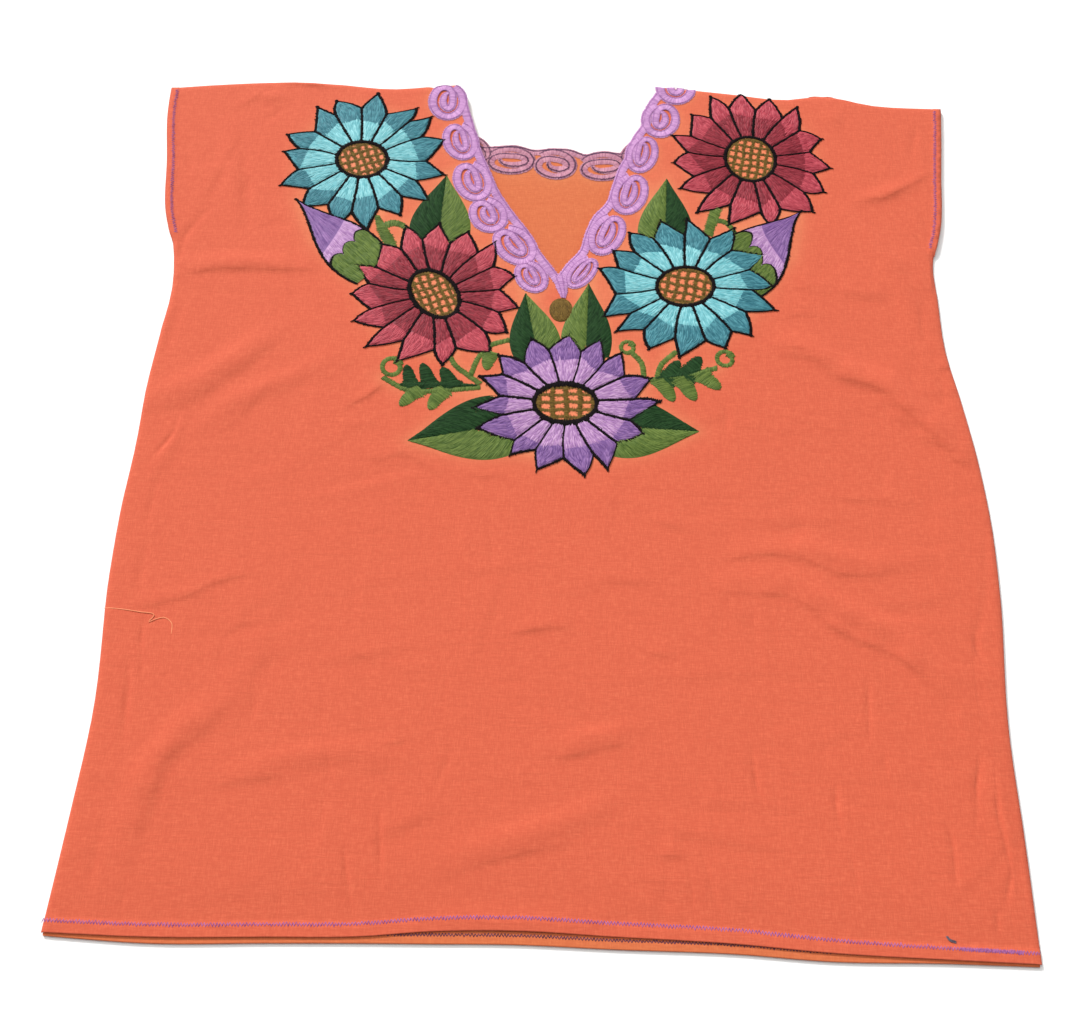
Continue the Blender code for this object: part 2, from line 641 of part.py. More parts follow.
def lay_flower(panel, name, across, up, radius_across, radius_up, turn, colour):
    """Fifteen petals in one piece, full along each petal's middle and low where petals meet."""
    spacing = 2 * math.pi / PETALS
    start = math.radians(turn)

    def spokes(shares, offset):
        angle = start + (np.arange(PETALS) + offset) * spacing
        way = np.stack([radius_across * np.cos(angle), radius_up * np.sin(angle)], axis=1)
        return (across, up) + np.multiply.outer(way, shares).transpose(0, 2, 1)

    def fullness(flat):
        side, rise = ((flat - (across, up)) / (radius_across, radius_up)).T
        offset = (np.arctan2(rise, side) - start) / spacing
        middle = (1 - 2 * np.abs(offset - np.round(offset))) ** PETAL_BELLY
        return PETAL_LOW + (1 - PETAL_LOW) * middle

    panel.lay(name, colour, [flower_ring(across, up, radius_across, radius_up, turn)], fullness,
              lines=spokes(np.array([0.3, 0.5, 0.68]), 0.5),
              points=spokes(np.array([0.45, 0.7, 0.85]), 0).reshape(-1, 2))


def lay_leaf(panel, name, colour, row, closing):
    """A leaf or a bud: full along the middle of each half, low at the midrib and the edges."""
    ring, rib = leaf_ring(*row, closing)
    half_ring, _ = leaf_ring(*row[:4], row[4] / 2, row[5], closing)

    def fullness(flat):
        apart, _ = distance(flat, rib)
        return LEAF_LOW + (1 - LEAF_LOW) * np.sin(math.pi * np.clip(apart / row[4], 0, 1))

    panel.lay(name, colour, [ring], fullness, lines=[rib[1:-1]], points=half_ring[1:])


def lay_sprig(panel, name, stems, lobes, scrolls):
    """Stems with lobes along them, and ring-shaped scrolls at their ends."""
    shapes = [strip(spaced(stem, 9), STEM) for stem in stems]
    shapes += [ellipse(a, u, radius, radius, 0, 12) for a, u, radius, _ in scrolls]
    shapes += [ellipse(a, u, long, wide, lean, 10) for a, u, long, wide, lean in lobes]
    eyes = [ellipse(a, u, radius - band, radius - band, 0, 8) for a, u, radius, band in scrolls]
    panel.lay(name, "leaf", shapes, level(FLAT_STITCH), holes=eyes)


def make_embroidery():
    back = Panel(level(CLOTH))
    lay_braid(back, "back_neck_braid", "plum", BACK_LOOPS, [])
    front = Panel(lambda flat: front_under(flat) + CLOTH, [over_shoulder()])
    lay_braid(front, "front_neck_braid", "lavender", FRONT_LOOPS, tip_bands(0))
    for name, row in FLOWERS.items():
        across, up, *_, disc_across, disc_up, disc_turn, _ = row
        lay_disc(front, name + "_disc", "seed", across, up, disc_up, disc_across, disc_turn)
    lay_disc(front, "neck_ball", "seed", *BALL)
    for name, row in FLOWERS.items():
        lay_flower(front, name, *row[:5], row[-1])
    for name, row in CALYXES.items():
        front.lay(name, "leaf", [calyx_ring(*row)], level(FLAT_STITCH))
    for name, row in BUDS.items():
        lay_leaf(front, name, "violet", row, 0.5)
    for name, row in LEAVES.items():
        lay_leaf(front, name, "leaf", row, LEAF_CLOSING)
    for name, row in SPRIGS.items():
        lay_sprig(front, name, *row)


clear_scene()
collection = bpy.data.collections.new("huipil_blouse")
bpy.context.scene.collection.children.link(collection)
make_back()
make_front()
make_embroidery()
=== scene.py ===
import math

import bpy
import numpy as np
from mathutils import Matrix, Vector
from mathutils.geometry import delaunay_2d_cdt


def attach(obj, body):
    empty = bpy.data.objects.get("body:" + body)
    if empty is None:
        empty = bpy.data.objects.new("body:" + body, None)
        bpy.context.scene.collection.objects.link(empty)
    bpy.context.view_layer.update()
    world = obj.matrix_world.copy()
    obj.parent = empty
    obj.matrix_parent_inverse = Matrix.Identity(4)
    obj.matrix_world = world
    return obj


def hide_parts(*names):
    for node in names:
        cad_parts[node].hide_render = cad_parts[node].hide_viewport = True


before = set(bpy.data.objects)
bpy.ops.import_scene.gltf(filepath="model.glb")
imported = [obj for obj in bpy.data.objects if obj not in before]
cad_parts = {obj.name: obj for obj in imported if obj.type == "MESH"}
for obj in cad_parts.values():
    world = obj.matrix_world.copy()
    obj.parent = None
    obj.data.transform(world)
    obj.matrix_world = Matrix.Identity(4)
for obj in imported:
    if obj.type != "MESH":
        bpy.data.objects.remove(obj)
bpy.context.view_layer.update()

# A huipil blouse laid flat with its front up: two thin cotton panels, and a yoke worked thread by
# thread. Places are in millimetres, across from the centre line and up from the hem; heights are
# over the floor.
blouse = {
    "middle": (-1.88, 283.33),  # the frame's origin
    "wall": 1.0,
    "looseness": 0.9,  # air and seam gap between the panels
    "yokeLift": 1.6,
    "yokeAt": (0.0, 440.0),
    "yokeSize": (170.0, 150.0),
    "armholeStart": 438.0,
    "seamFade": 9.0,
    "roll": 3.0,
    "tuck": 1.2,
    "hemDepth": 7.0,
    "hemStep": 0.7,
    "hemExtra": 0.3,
    "hemRest": (22.0, 0.52),  # how far in, and how much, the front sinks on to the back by its hem
    "armholeHem": 5.0,
    "cloth": 0.55,  # thickness of the single cotton
    "grain": 2.95,  # spacing of the mesh
    "sides": [  # up, left across, right across
        (-8, -258.5, 258.7), (60, -253.5, 258.0), (115, -250.3, 256.8), (200, -254.0, 261.7),
        (240, -253.7, 261.9), (285, -251.2, 258.7), (325, -250.5, 253.3), (365, -247.5, 246.8),
        (400, -244.7, 246.0), (430, -248.0, 245.6), (460, -256.0, 252.5), (500, -260.5, 256.6),
        (540, -265.5, 260.6), (575, -266.0, 263.5),
    ],
    "shoulder": [  # across, up
        (-266, 565.5), (-230, 569.5), (-185, 572.3), (-150, 571.0), (-115, 568.0), (-78, 572.0),
        (80, 573.5), (120, 569.5), (155, 565.7), (182, 569.4), (215, 562.5), (264, 560.5),
    ],
    "hems": [  # across, up on the front, up on the back
        (-259, -2.5, -4.0), (-200, -3.6, -6.7), (-140, -2.2, -5.2), (-95, -1.0, -4.2),
        (-55, 2.6, -3.6), (-15, 3.8, -3.0), (40, 2.0, -4.2), (100, 0.0, -5.0),
        (150, -3.4, -7.6), (210, -5.4, -7.2), (259, -6.6, -7.8),
    ],
    "neckEnds": (-92.0, 94.0),
    "backNeck": (-76.0, 77.0),
}


def travel(line):
    # the length travelled along a polyline at each of its points
    return np.concatenate([[0], np.cumsum(np.hypot(*np.diff(line, axis=0).T))])


def compass(degrees):
    # cosine and sine of an angle in degrees
    return math.cos(math.radians(degrees)), math.sin(math.radians(degrees))


def curveThrough(table, at, column=1):
    # cubic through a table's rows, with slopes taken from the neighbouring rows
    rows = np.array(table, float)
    places, values = rows[:, 0], rows[:, column]
    slopes = np.gradient(values, places)
    at = np.clip(at, places[0], places[-1])
    i = np.clip(np.searchsorted(places, at) - 1, 0, len(places) - 2)
    span = places[i + 1] - places[i]
    t = (at - places[i]) / span
    rise = (2 * t**3 - 3 * t**2 + 1) * values[i] + (3 * t**2 - 2 * t**3) * values[i + 1]
    return rise + span * (t * (1 - t) ** 2 * slopes[i] - t**2 * (1 - t) * slopes[i + 1])


def fade(t):
    # from 0 to 1 with level ends: 3t^2 - 2t^3
    t = np.clip(t, 0.0, 1.0)
    return t * t * (3 - 2 * t)


def nearLine(points, line):
    # shortest distance from each point to a polyline, and how far along it the foot lies
    line = np.array(line, float)
    starts, steps = line[:-1], np.diff(line, axis=0)
    lengths = np.hypot(*steps.T)
    ahead = points[:, None] - starts
    t = np.clip((ahead * steps).sum(2) / lengths**2, 0, 1)
    apart = np.hypot(*np.moveaxis(ahead - t[..., None] * steps, 2, 0))
    nearest = apart.argmin(1)
    row = np.arange(len(points))
    travelled = np.concatenate([[0], np.cumsum(lengths)])
    return apart[row, nearest], (travelled[nearest] + (t * lengths)[row, nearest]) / travelled[-1]


def spaced(line, step):
    # points along a polyline about one step apart
    line = np.array(line, float)
    travelled = travel(line)
    wanted = np.linspace(0, travelled[-1], max(2, round(travelled[-1] / step) + 1))
    return np.stack([np.interp(wanted, travelled, line[:, k]) for k in (0, 1)], axis=1)


def leftOf(way):
    # the unit vector a quarter turn left of each direction
    side = np.stack([-way[..., 1], way[..., 0]], axis=-1)
    return side / np.maximum(np.hypot(side[..., 0], side[..., 1]), 1e-9)[..., None]


def smoothLine(points, step):
    # a curve through a few points: cubic in the length travelled, then evenly spaced
    points = np.array(points, float)
    travelled = travel(points)
    fine = np.linspace(0, travelled[-1], 12 * len(points))
    table = np.column_stack([travelled, points])
    return spaced(np.stack([curveThrough(table, fine, k) for k in (1, 2)], axis=1), step)


def oval(at, long, wide, lean, count):
    # ring of an ellipse whose long axis leans from upright towards the left
    turn = np.linspace(0, 2 * math.pi, count, endpoint=False)
    return ovalPoint(at, long, wide, lean, turn)


def ovalPoint(at, long, wide, lean, turn):
    # the ellipse's point at each turn
    return leaned(at, wide * np.cos(turn), long * np.sin(turn), lean)


def leaned(at, side, rise, lean):
    # places beside and above a middle, turned about it by the lean
    c, s = compass(lean)
    return np.stack([at[0] + side * c - rise * s, at[1] + side * s + rise * c], axis=-1)


def polarGrid(first, last, rings, spokes):
    # shares from the middle outwards and angles round it
    shares, angles = np.linspace(first, last, rings), np.linspace(0, 2 * math.pi, spokes)
    return np.meshgrid(shares, angles, indexing="ij")


def sideAcross(up, side):
    return curveThrough(blouse["sides"], up, 1 if side < 0 else 2)


def hemUp(across, column):
    return curveThrough(blouse["hems"], across, column)


def shoulderUp(across):
    return curveThrough(blouse["shoulder"], across)


def sewnShare(up):
    # 1 below the armhole, where the side is sewn, fading to 0 where it is open
    return 1 - fade((up - blouse["armholeStart"]) / blouse["seamFade"] + 0.5)


def sideLine(side, low, high, inset, count):
    # points up one side of the blouse, moved in from its edge
    ups = np.linspace(low, high, count)
    return np.stack([sideAcross(ups, side) - side * inset, ups], axis=1)


def shoulderLine(start, end, inset, count):
    # points across the shoulders, moved down from the fold
    across = np.linspace(start, end, count)
    return np.stack([across, shoulderUp(across) - inset], axis=1)


# Soft folds of the front: rise, half width, crest line
folds = [
    (3.2, 13, [(137, 371), (154, 366), (176, 351), (206, 338), (233, 309), (252, 290)]),
    (2.6, 12, [(190, 468), (213, 432), (226, 398), (236, 366)]),
    (2.4, 11, [(104, 203), (142, 205), (167, 188), (198, 174), (226, 147), (244, 112)]),
    (1.8, 10, [(116, 225), (150, 225), (186, 216), (218, 223)]),
    (2.2, 9, [(-242, 417), (-212, 420), (-184, 419), (-160, 416)]),
    (2.8, 13, [(-249, 316), (-221, 328), (-198, 346), (-174, 368)]),
    (2.0, 11, [(-213, 296), (-192, 318), (-164, 331), (-132, 352)]),
    (1.5, 7, [(-236, 262), (-229, 286), (-224, 308)]),
    (2.2, 12, [(-223, 42), (-215, 84), (-198, 110), (-168, 134)]),
    (1.6, 10, [(-172, 82), (-140, 93), (-102, 98), (-76, 95)]),
    (2.0, 11, [(-52, 40), (-16, 52), (16, 62), (40, 76)]),
    (1.5, 8, [(4, 103), (26, 108), (52, 115)]),
    (2.0, 11, [(-222, 532), (-216, 496), (-208, 456)]),
    (1.8, 9, [(246, 500), (224, 487), (198, 477)]),
    (2.2, 8, [(-204, 559), (-188, 556)]),
    (2.4, 13, [(188, 540), (184, 556)]),
    (2.6, 10, [(-62, 9), (-30, 10), (6, 9), (30, 9)]),
    (1.6, 7, [(246, 108), (245, 72), (250, 34)]),
]
# Crisp creases, steep on one side and gentle on the other: rise, width of the steep side, line
steps = [
    (0.75, 5.0, [(138, 356), (160, 355), (180, 340), (197, 335), (220, 315), (240, 290),
                 (253, 277)]),
    (0.2, 2.5, [(130, 391), (166, 393)]), (0.25, 4.0, [(120, 384), (142, 387), (176, 385)]),
    (0.2, 3.0, [(133, 363), (158, 361), (172, 353)]),
    (0.15, 4.0, [(130, 405), (158, 408), (176, 405)]),
    (0.55, 8.0, [(180, 404), (198, 402), (216, 401)]), (0.25, 7.0, [(156, 412), (168, 411)]),
    (0.5, 3.5, [(200, 477), (218, 481), (234, 492), (249, 501)]),
    (0.3, 3.0, [(171, 477), (184, 481)]),
    (0.4, 7.0, [(206, 446), (220, 426), (230, 410), (244, 402)]),
    (0.35, 3.5, [(239, 350), (248, 350)]), (0.2, 4.0, [(212, 372), (226, 358), (237, 344)]),
    (0.15, 4.0, [(108, 308), (132, 304), (162, 300)]),
    (0.15, 4.0, [(122, 316), (152, 310), (180, 300)]), (0.3, 2.5, [(194, 565), (214, 562)]),
    (0.4, 4.0, [(91, 207), (100, 192), (112, 177)]),
    (0.75, 4.5, [(108, 194), (142, 193), (165, 173), (195, 160), (220, 136), (236, 104)]),
    (0.45, 4.0, [(98, 216), (144, 219), (172, 208), (212, 212)]),
    (0.2, 6.0, [(184, 191), (206, 190), (237, 199)]), (0.3, 4.0, [(58, 242), (86, 233)]),
    (0.35, 4.0, [(60, 44), (76, 44)]), (0.2, 3.0, [(100, 21), (116, 18)]),
    (0.55, 4.0, [(4, 95), (26, 100), (46, 105)]), (0.3, 4.0, [(56, 158), (73, 156)]),
    (0.14, 2.0, [(161, 259), (186, 257), (212, 256)]),
    (0.15, 4.0, [(18, 201), (42, 200), (66, 202)]), (0.15, 5.0, [(26, 248), (44, 250)]),
    (0.5, 4.0, [(-246, 404), (-232, 410), (-200, 413), (-150, 413)]),
    (0.6, 4.0, [(-200, 572), (-175, 568), (-152, 565), (-134, 560)]),
    (0.35, 4.0, [(-222, 544), (-210, 552), (-199, 566)]), (0.35, 4.0, [(-190, 475), (-170, 474)]),
    (0.25, 3.5, [(-194, 446), (-185, 452)]),
    (0.55, 8.5, [(-248, 307), (-220, 315), (-200, 332), (-171, 361)]),
    (0.3, 6.0, [(-203, 286), (-184, 312), (-164, 341)]),
    (0.15, 5.0, [(-146, 327), (-130, 339), (-117, 353)]),
    (0.4, 2.5, [(-124, 312), (-113, 320), (-101, 332)]), (0.15, 4.0, [(-131, 300), (-100, 300)]),
    (0.45, 4.0, [(-113, 282), (-102, 277), (-90, 281), (-76, 274), (-64, 265)]),
    (0.15, 3.0, [(-56, 270), (-38, 267), (-14, 273)]),
    (0.4, 3.5, [(-237, 178), (-206, 186), (-188, 195), (-169, 201)]),
    (0.25, 3.5, [(-184, 159), (-176, 167), (-158, 172)]),
    (0.6, 8.0, [(-217, 32), (-209, 66), (-203, 92), (-188, 103), (-175, 122)]),
    (0.35, 4.5, [(-174, 76), (-152, 80), (-128, 84)]),
    (0.15, 4.0, [(-116, 160), (-98, 149), (-60, 142)]), (0.3, 2.5, [(-90, 100), (-74, 103)]),
    (0.2, 3.0, [(-101, 87), (-84, 86)]), (0.4, 4.5, [(-50, 31), (-34, 36), (0, 46), (22, 50)]),
    (0.45, 3.5, [(-21, 167), (2, 171), (14, 171)]), (0.15, 3.5, [(-30, 85), (0, 80)]),
    (0.15, 4.0, [(-112, 228), (-95, 231), (-80, 227)]), (0.15, 4.0, [(-173, 222), (-147, 187)]),
    (0.5, 7.0, [(194, 327), (206, 322), (218, 320)]),
    (0.65, 8.0, [(204, 317), (217, 310), (230, 308)]),
    (0.6, 6.5, [(219, 304), (231, 296), (243, 293)]),
    (0.35, 5.0, [(234, 290), (244, 284), (254, 282)]),
]
# Pinched lines that run up the cloth: depth, half width, line
pinches = [
    (0.55, 2.6, [(235, 451), (242, 438), (243, 402)]), (0.25, 3.0, [(232, 398), (234, 368)]),
    (0.2, 3.0, [(240, 346), (241, 322)]), (0.4, 4.0, [(102, 332), (106, 315), (107, 298)]),
    (0.2, 3.5, [(80, 324), (98, 300)]), (0.25, 3.5, [(243, 542), (238, 514)]),
    (0.35, 3.0, [(238, 472), (246, 452)]), (0.3, 2.2, [(180, 146), (178, 109)]),
    (0.5, 2.2, [(237, 101), (232, 64)]), (0.6, 2.4, [(245, 97), (245, 60), (247, 42), (243, 22)]),
    (0.4, 2.4, [(216, 66), (218, 50), (217, 33)]), (0.35, 2.0, [(237, 20), (238, 8)]),
    (0.4, 3.5, [(241, 176), (248, 152)]),
    (0.2, 3.5, [(256, 238), (252, 200), (243, 168), (242, 118)]),
    (0.4, 2.4, [(113, 104), (115, 89), (118, 76), (124, 67)]), (0.4, 2.2, [(158, 85), (159, 58)]),
    (0.4, 2.4, [(163, 48), (167, 31)]), (0.3, 3.6, [(250, 48), (251, 34), (254, 20)]),
    (0.2, 2.6, [(78, 42), (80, 14)]), (0.3, 2.4, [(84, 46), (95, 12)]),
    (0.2, 2.4, [(184, 102), (186, 90)]), (0.4, 5.5, [(-217, 522), (-207, 490), (-200, 438)]),
    (0.3, 4.5, [(-249, 520), (-244, 484)]), (0.45, 3.6, [(-226, 462), (-240, 440), (-242, 418)]),
    (0.3, 4.0, [(-198, 536), (-187, 546)]), (0.2, 4.0, [(-181, 456), (-174, 444)]),
    (0.3, 4.5, [(-236, 392), (-240, 348)]), (0.55, 2.6, [(-226, 307), (-229, 290), (-237, 277)]),
    (0.25, 3.0, [(-233, 268), (-235, 230)]), (0.2, 3.5, [(-234, 222), (-235, 184)]),
    (0.4, 2.2, [(-229, 171), (-225, 138)]), (0.5, 2.8, [(-235, 152), (-231, 128), (-230, 98)]),
    (0.25, 4.0, [(-234, 62), (-236, 12)]), (0.2, 3.0, [(-160, 127), (-161, 114)]),
    (0.3, 2.6, [(-118, 96), (-113, 81)]), (0.4, 2.0, [(-105, 46), (-98, 11)]),
    (0.4, 2.2, [(-88, 68), (-86, 50), (-83, 24)]), (0.2, 3.0, [(-50, 101), (-58, 77)]),
    (0.2, 2.6, [(-34, 231), (-32, 204)]), (0.2, 2.6, [(-19, 236), (-9, 212)]),
    (0.2, 3.0, [(-183, 158), (-182, 138)]), (0.25, 2.2, [(-216, 20), (-217, 8)]),
    (0.2, 3.0, [(-126, 122), (-119, 108)]),
]
creaseShape = {
    "step": 3.0, "waver": 0.4, "uneven": 0.24,
    "stepShare": 1.6, "narrow": 0.85, "runOut": 2.0,
    "pinchShare": 1.45, "pinchHalf": 1.0,
    "foldShare": 0.42, "deepest": -1.15,
    "flowerClear": 1.08, "flowerFade": 0.25,  # where creases start outside a flower, in its radii
}
rumple = {
    "seed": 11, "count": 300, "rise": 0.12, "long": (8, 42), "wide": (1.6, 4.5),
    "low": (-255, 0), "high": (255, 565), "bow": 0.25, "runOut": 3.2,
}


def creaseLine(corners):
    # a crease's course, smooth through its corners with a small waver, and how full it is there
    line = smoothLine(corners, creaseShape["step"])
    along = np.arange(len(line)) * creaseShape["step"]
    phase = 1.7 * corners[0][0] + corners[0][1]
    waver = 0.5 * np.sin(along / 3.7 + phase) + np.sin(along / 8.9 + 2 * phase)
    line = line + leftOf(np.gradient(line, axis=0)) * (creaseShape["waver"] * waver)[:, None]
    swing = np.sin(along / 3.4 + 3 * phase) + np.sin(along / 8.3 + phase)
    return line, 1 + creaseShape["uneven"] * swing


def rumpleHeight(points):
    # many short soft steps, each steep along its line and dying away beside it and at its ends
    dice = np.random.default_rng(rumple["seed"])
    total = np.zeros(len(points))
    for _ in range(rumple["count"]):
        at = dice.uniform(rumple["low"], rumple["high"])
        long, wide = dice.uniform(*rumple["long"]), dice.uniform(*rumple["wide"])
        turn = dice.normal(0.1, 0.3) + (math.pi / 2 if dice.random() < 0.5 else 0.0)
        rise = rumple["rise"] * dice.normal()
        near = (np.abs(points - at) < 2.2 * long).all(1)
        x, y = (points[near] - at).T
        along = x * math.cos(turn) + y * math.sin(turn)
        across = y * math.cos(turn) - x * math.sin(turn)
        bend = across - rumple["bow"] * wide * np.sin(along / long * 2.5)
        dying = np.exp(-((along / long) ** 2) - (bend / (rumple["runOut"] * wide)) ** 2)
        total[near] += rise * np.tanh(bend / wide * 2) * dying
    return total


def ridges(points, rows):
    # each row is a bell across its line, growing from its ends to its middle
    total = np.zeros(len(points))
    for rise, half, line in rows:
        apart, along = nearLine(points, line)
        bell = np.cos(np.clip(apart / half, 0, 1) * math.pi / 2) ** 2
        total += rise * bell * np.sin(math.pi * np.clip(along, 0.06, 0.94)) ** 0.7
    return total


def creaseHeight(points):
    # a step rises over its width and runs out behind it, a pinch is a narrow trough; both fade at
    # their ends
    total = np.zeros(len(points))
    for kind, rows in (("step", steps), ("pinch", pinches)):
        for rise, wide, corners in rows:
            line, full = creaseLine(corners)
            reach = 6 * wide + 2
            near = (points > line.min(0) - reach).all(1) & (points < line.max(0) + reach).all(1)
            spots = points[near]
            apart, along = nearLine(spots, line)
            place = np.round(along * (len(line) - 1)).astype(int)
            swell = np.sin(math.pi * np.clip(along, 0.02, 0.98)) ** 0.6 * full[place]
            if kind == "pinch":
                half = wide * creaseShape["pinchHalf"]
                trough = np.cos(np.clip(apart / half, 0, 1) * math.pi / 2) ** 2
                total[near] -= creaseShape["pinchShare"] * rise * trough * swell
                continue
            foot, way = line[place], np.gradient(line, axis=0)[place]
            behind = apart * np.sign(((spots - foot) * leftOf(way)).sum(1))
            runOut = wide * creaseShape["runOut"]
            ramp = fade(behind / (wide * creaseShape["narrow"]) + 0.5)
            ramp = ramp * np.exp(-np.clip(behind, 0, None) / runOut)
            total[near] += creaseShape["stepShare"] * rise * ramp * swell
    return total


def rollCurve(apart):
    # a quarter round, from 0 at a fold to 1 a roll's width away
    return np.sqrt(1 - (1 - np.clip(apart / blouse["roll"], 0, 1)) ** 2)


def frontTop(points):
    # the back below, air, the yoke's lift and the folds; sunk at the hem, rolled down at the edges
    x, y = points.T
    (x0, y0), (w, h) = blouse["yokeAt"], blouse["yokeSize"]
    yoke = np.exp(-(((x - x0) / w) ** 4) - ((y - y0) / h) ** 4)
    lifted = creaseShape["foldShare"] * ridges(points, folds) + creaseHeight(points)
    lifted = lifted + rumpleHeight(points)
    lifted = np.maximum(lifted, creaseShape["deepest"])
    places = [f["at"] + f["radius"] for f in flowers.values()]
    beside = [np.hypot((x - a) / ra, (y - u) / ru) for a, u, ra, ru in places]
    clear = np.min(beside, axis=0) - creaseShape["flowerClear"]
    lifted *= fade(clear / creaseShape["flowerFade"])
    height = blouse["wall"] + blouse["looseness"] + blouse["yokeLift"] * yoke + lifted
    reach, sunk = blouse["hemRest"]
    height = height * (1 - sunk * np.exp(-(((y - hemUp(x, 1)) / reach) ** 2)))
    for side in (-1, 1):
        edge = sideLine(side, -20, blouse["armholeStart"] + blouse["seamFade"], blouse["wall"], 40)
        apart, _ = nearLine(points, edge)
        height = height * (1 - sewnShare(y) * (1 - rollCurve(apart)))
    apart, _ = nearLine(points, shoulderLine(-275, 275, blouse["wall"], 48))
    return height * rollCurve(apart) + blouse["wall"]


def hemShare(points, column):
    # 1 on the turned hem and on the armholes' narrow hems, 0 on the single cloth
    x, y = points.T
    step = blouse["hemStep"]
    inHem = 1 - fade((y - hemUp(x, column) - blouse["hemDepth"]) / step + 0.5)
    fromSide = np.minimum(x - sideAcross(y, -1), sideAcross(y, 1) - x)
    inArmhole = (1 - fade((fromSide - blouse["armholeHem"]) / step + 0.5)) * (1 - sewnShare(y))
    return np.maximum(inHem, inArmhole)


puckers = {"rise": 0.09, "hemIn": 0.8, "hemReach": 5, "sideIn": 0.6, "sideReach": 4}


def pucker(points, column):
    # small waves that the stitches draw into the hems: uneven sines along the edge, dying away as a
    # bell on both sides of the stitching
    x, y = points.T
    line = hemUp(x, column) + blouse["hemDepth"] - puckers["hemIn"]
    apart = np.abs(y - line)
    wave = np.sin(x / 2.1 + 1.7 * np.sin(x / 23)) + 0.6 * np.sin(x / 3.7 + 2)
    side = np.minimum(x - sideAcross(y, -1), sideAcross(y, 1) - x)
    inward = side - blouse["armholeHem"] + puckers["sideIn"]
    armhole = (1 - sewnShare(y)) * np.exp(-((inward / puckers["sideReach"]) ** 2))
    alongHem = puckers["rise"] * wave * np.exp(-((apart / puckers["hemReach"]) ** 2))
    return alongHem + puckers["rise"] * armhole * np.sin(y / 2.3 + 1.5 * np.sin(y / 19))


# The front's height is worked out once on a fine grid, and the threads read it from there
heightGrid = {"low": (-275.0, -15.0), "step": 1.5, "count": (368, 408)}


def fillHeights():
    # one row of heights for each step up
    low, step, (wide, tall) = heightGrid["low"], heightGrid["step"], heightGrid["count"]
    across, ups = low[0] + step * np.arange(wide), low[1] + step * np.arange(tall)
    spots = np.stack(np.meshgrid(across, ups), axis=-1).reshape(-1, 2)
    heightGrid["rows"] = frontTop(spots).reshape(tall, wide)


def keepBelowFold(points):
    # what would pass over the shoulder fold ends on it
    top = shoulderUp(points[..., 0]) - blouse["wall"] * 1.2
    over = points[..., 1] > top
    return np.stack([points[..., 0], np.minimum(points[..., 1], top)], axis=-1), over


def clothUp(points):
    # bilinear reading of the height grid
    low, step = heightGrid["low"], heightGrid["step"]
    rows = heightGrid["rows"]
    place = (keepBelowFold(np.asarray(points, float))[0] - low) / step
    i = np.clip(place[..., 0].astype(int), 0, rows.shape[1] - 2)
    j = np.clip(place[..., 1].astype(int), 0, rows.shape[0] - 2)
    u, v = np.clip(place[..., 0] - i, 0, 1), np.clip(place[..., 1] - j, 0, 1)
    lower = rows[j, i] * (1 - u) + rows[j, i + 1] * u
    upper = rows[j + 1, i] * (1 - u) + rows[j + 1, i + 1] * u
    return lower * (1 - v) + upper * v


def backUp(points):
    return np.full(np.shape(points)[:-1], blouse["wall"])


def insideRing(points, ring):
    # even-odd rule: how many of the ring's edges a ray to the right of each point crosses
    x, y = points[:, 0, None], points[:, 1, None]
    (x0, y0), (x1, y1) = ring.T, np.roll(ring, -1, axis=0).T
    spans = (y0 <= y) != (y1 <= y)
    hit = x0 + (y - y0) * (x1 - x0) / np.where(y1 == y0, 1e-9, y1 - y0)
    return (spans & (hit > x)).sum(1) % 2 == 1


def inBox(points, line, margin):
    # which points lie in the box round a line, widened by a margin
    return (points >= line.min(0) - margin).all(1) & (points <= line.max(0) + margin).all(1)


def insideAny(points, rings):
    # which points lie in at least one of the rings
    flat = points.reshape(-1, 2)
    inside = np.zeros(len(flat), bool)
    for ring in rings:
        near = inBox(flat, ring, 0)
        if near.any():
            inside[near] |= insideRing(flat[near], ring)
    return inside.reshape(points.shape[:-1])


def meshPiece(name, points, faces, values=None, label="strand"):
    # puts whole arrays into a mesh: points in millimetres, faces all of one length
    place = np.array(points, float)
    place[:, :2] -= blouse["middle"]
    mesh = bpy.data.meshes.new(name)
    mesh.vertices.add(len(place))
    mesh.vertices.foreach_set("co", (place * 0.001).astype(np.float32).ravel())
    corners = faces.shape[1]
    mesh.loops.add(faces.size)
    mesh.loops.foreach_set("vertex_index", faces.astype(np.int32).ravel())
    mesh.polygons.add(len(faces))
    mesh.polygons.foreach_set("loop_start", np.arange(0, faces.size, corners, dtype=np.int32))
    mesh.polygons.foreach_set("use_smooth", np.ones(len(faces), bool))
    if values is not None:
        made = mesh.attributes.new(label, "FLOAT", "POINT")
        made.data.foreach_set("value", values.astype(np.float32))
    mesh.update(calc_edges=True)
    mesh.validate()
    piece = bpy.data.objects.new(name, mesh)
    bpy.context.scene.collection.objects.link(piece)
    return piece


def settle(piece, finish, nodes=()):
    piece.data.materials.append(finish)
    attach(piece, "root")
    if nodes:
        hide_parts(*nodes)
    return piece


class Wire:
    # a node's output; arithmetic on it adds Math nodes
    def __init__(self, recipe, socket):
        self.recipe, self.socket = recipe, socket

    def maths(self, how, first, second=0.0):
        return self.recipe.node("ShaderNodeMath", {"operation": how}, {0: first, 1: second})

    def __add__(self, other):
        return self.maths("ADD", self, other)

    def __mul__(self, other):
        return self.maths("MULTIPLY", self, other)

    def __sub__(self, other):
        return self.maths("SUBTRACT", self, other)

    def __rsub__(self, other):
        return self.maths("SUBTRACT", other, self)

    def sine(self):
        return self.maths("SINE", self)

    def size(self):
        return self.maths("ABSOLUTE", self)

    __radd__ = __add__
    __rmul__ = __mul__


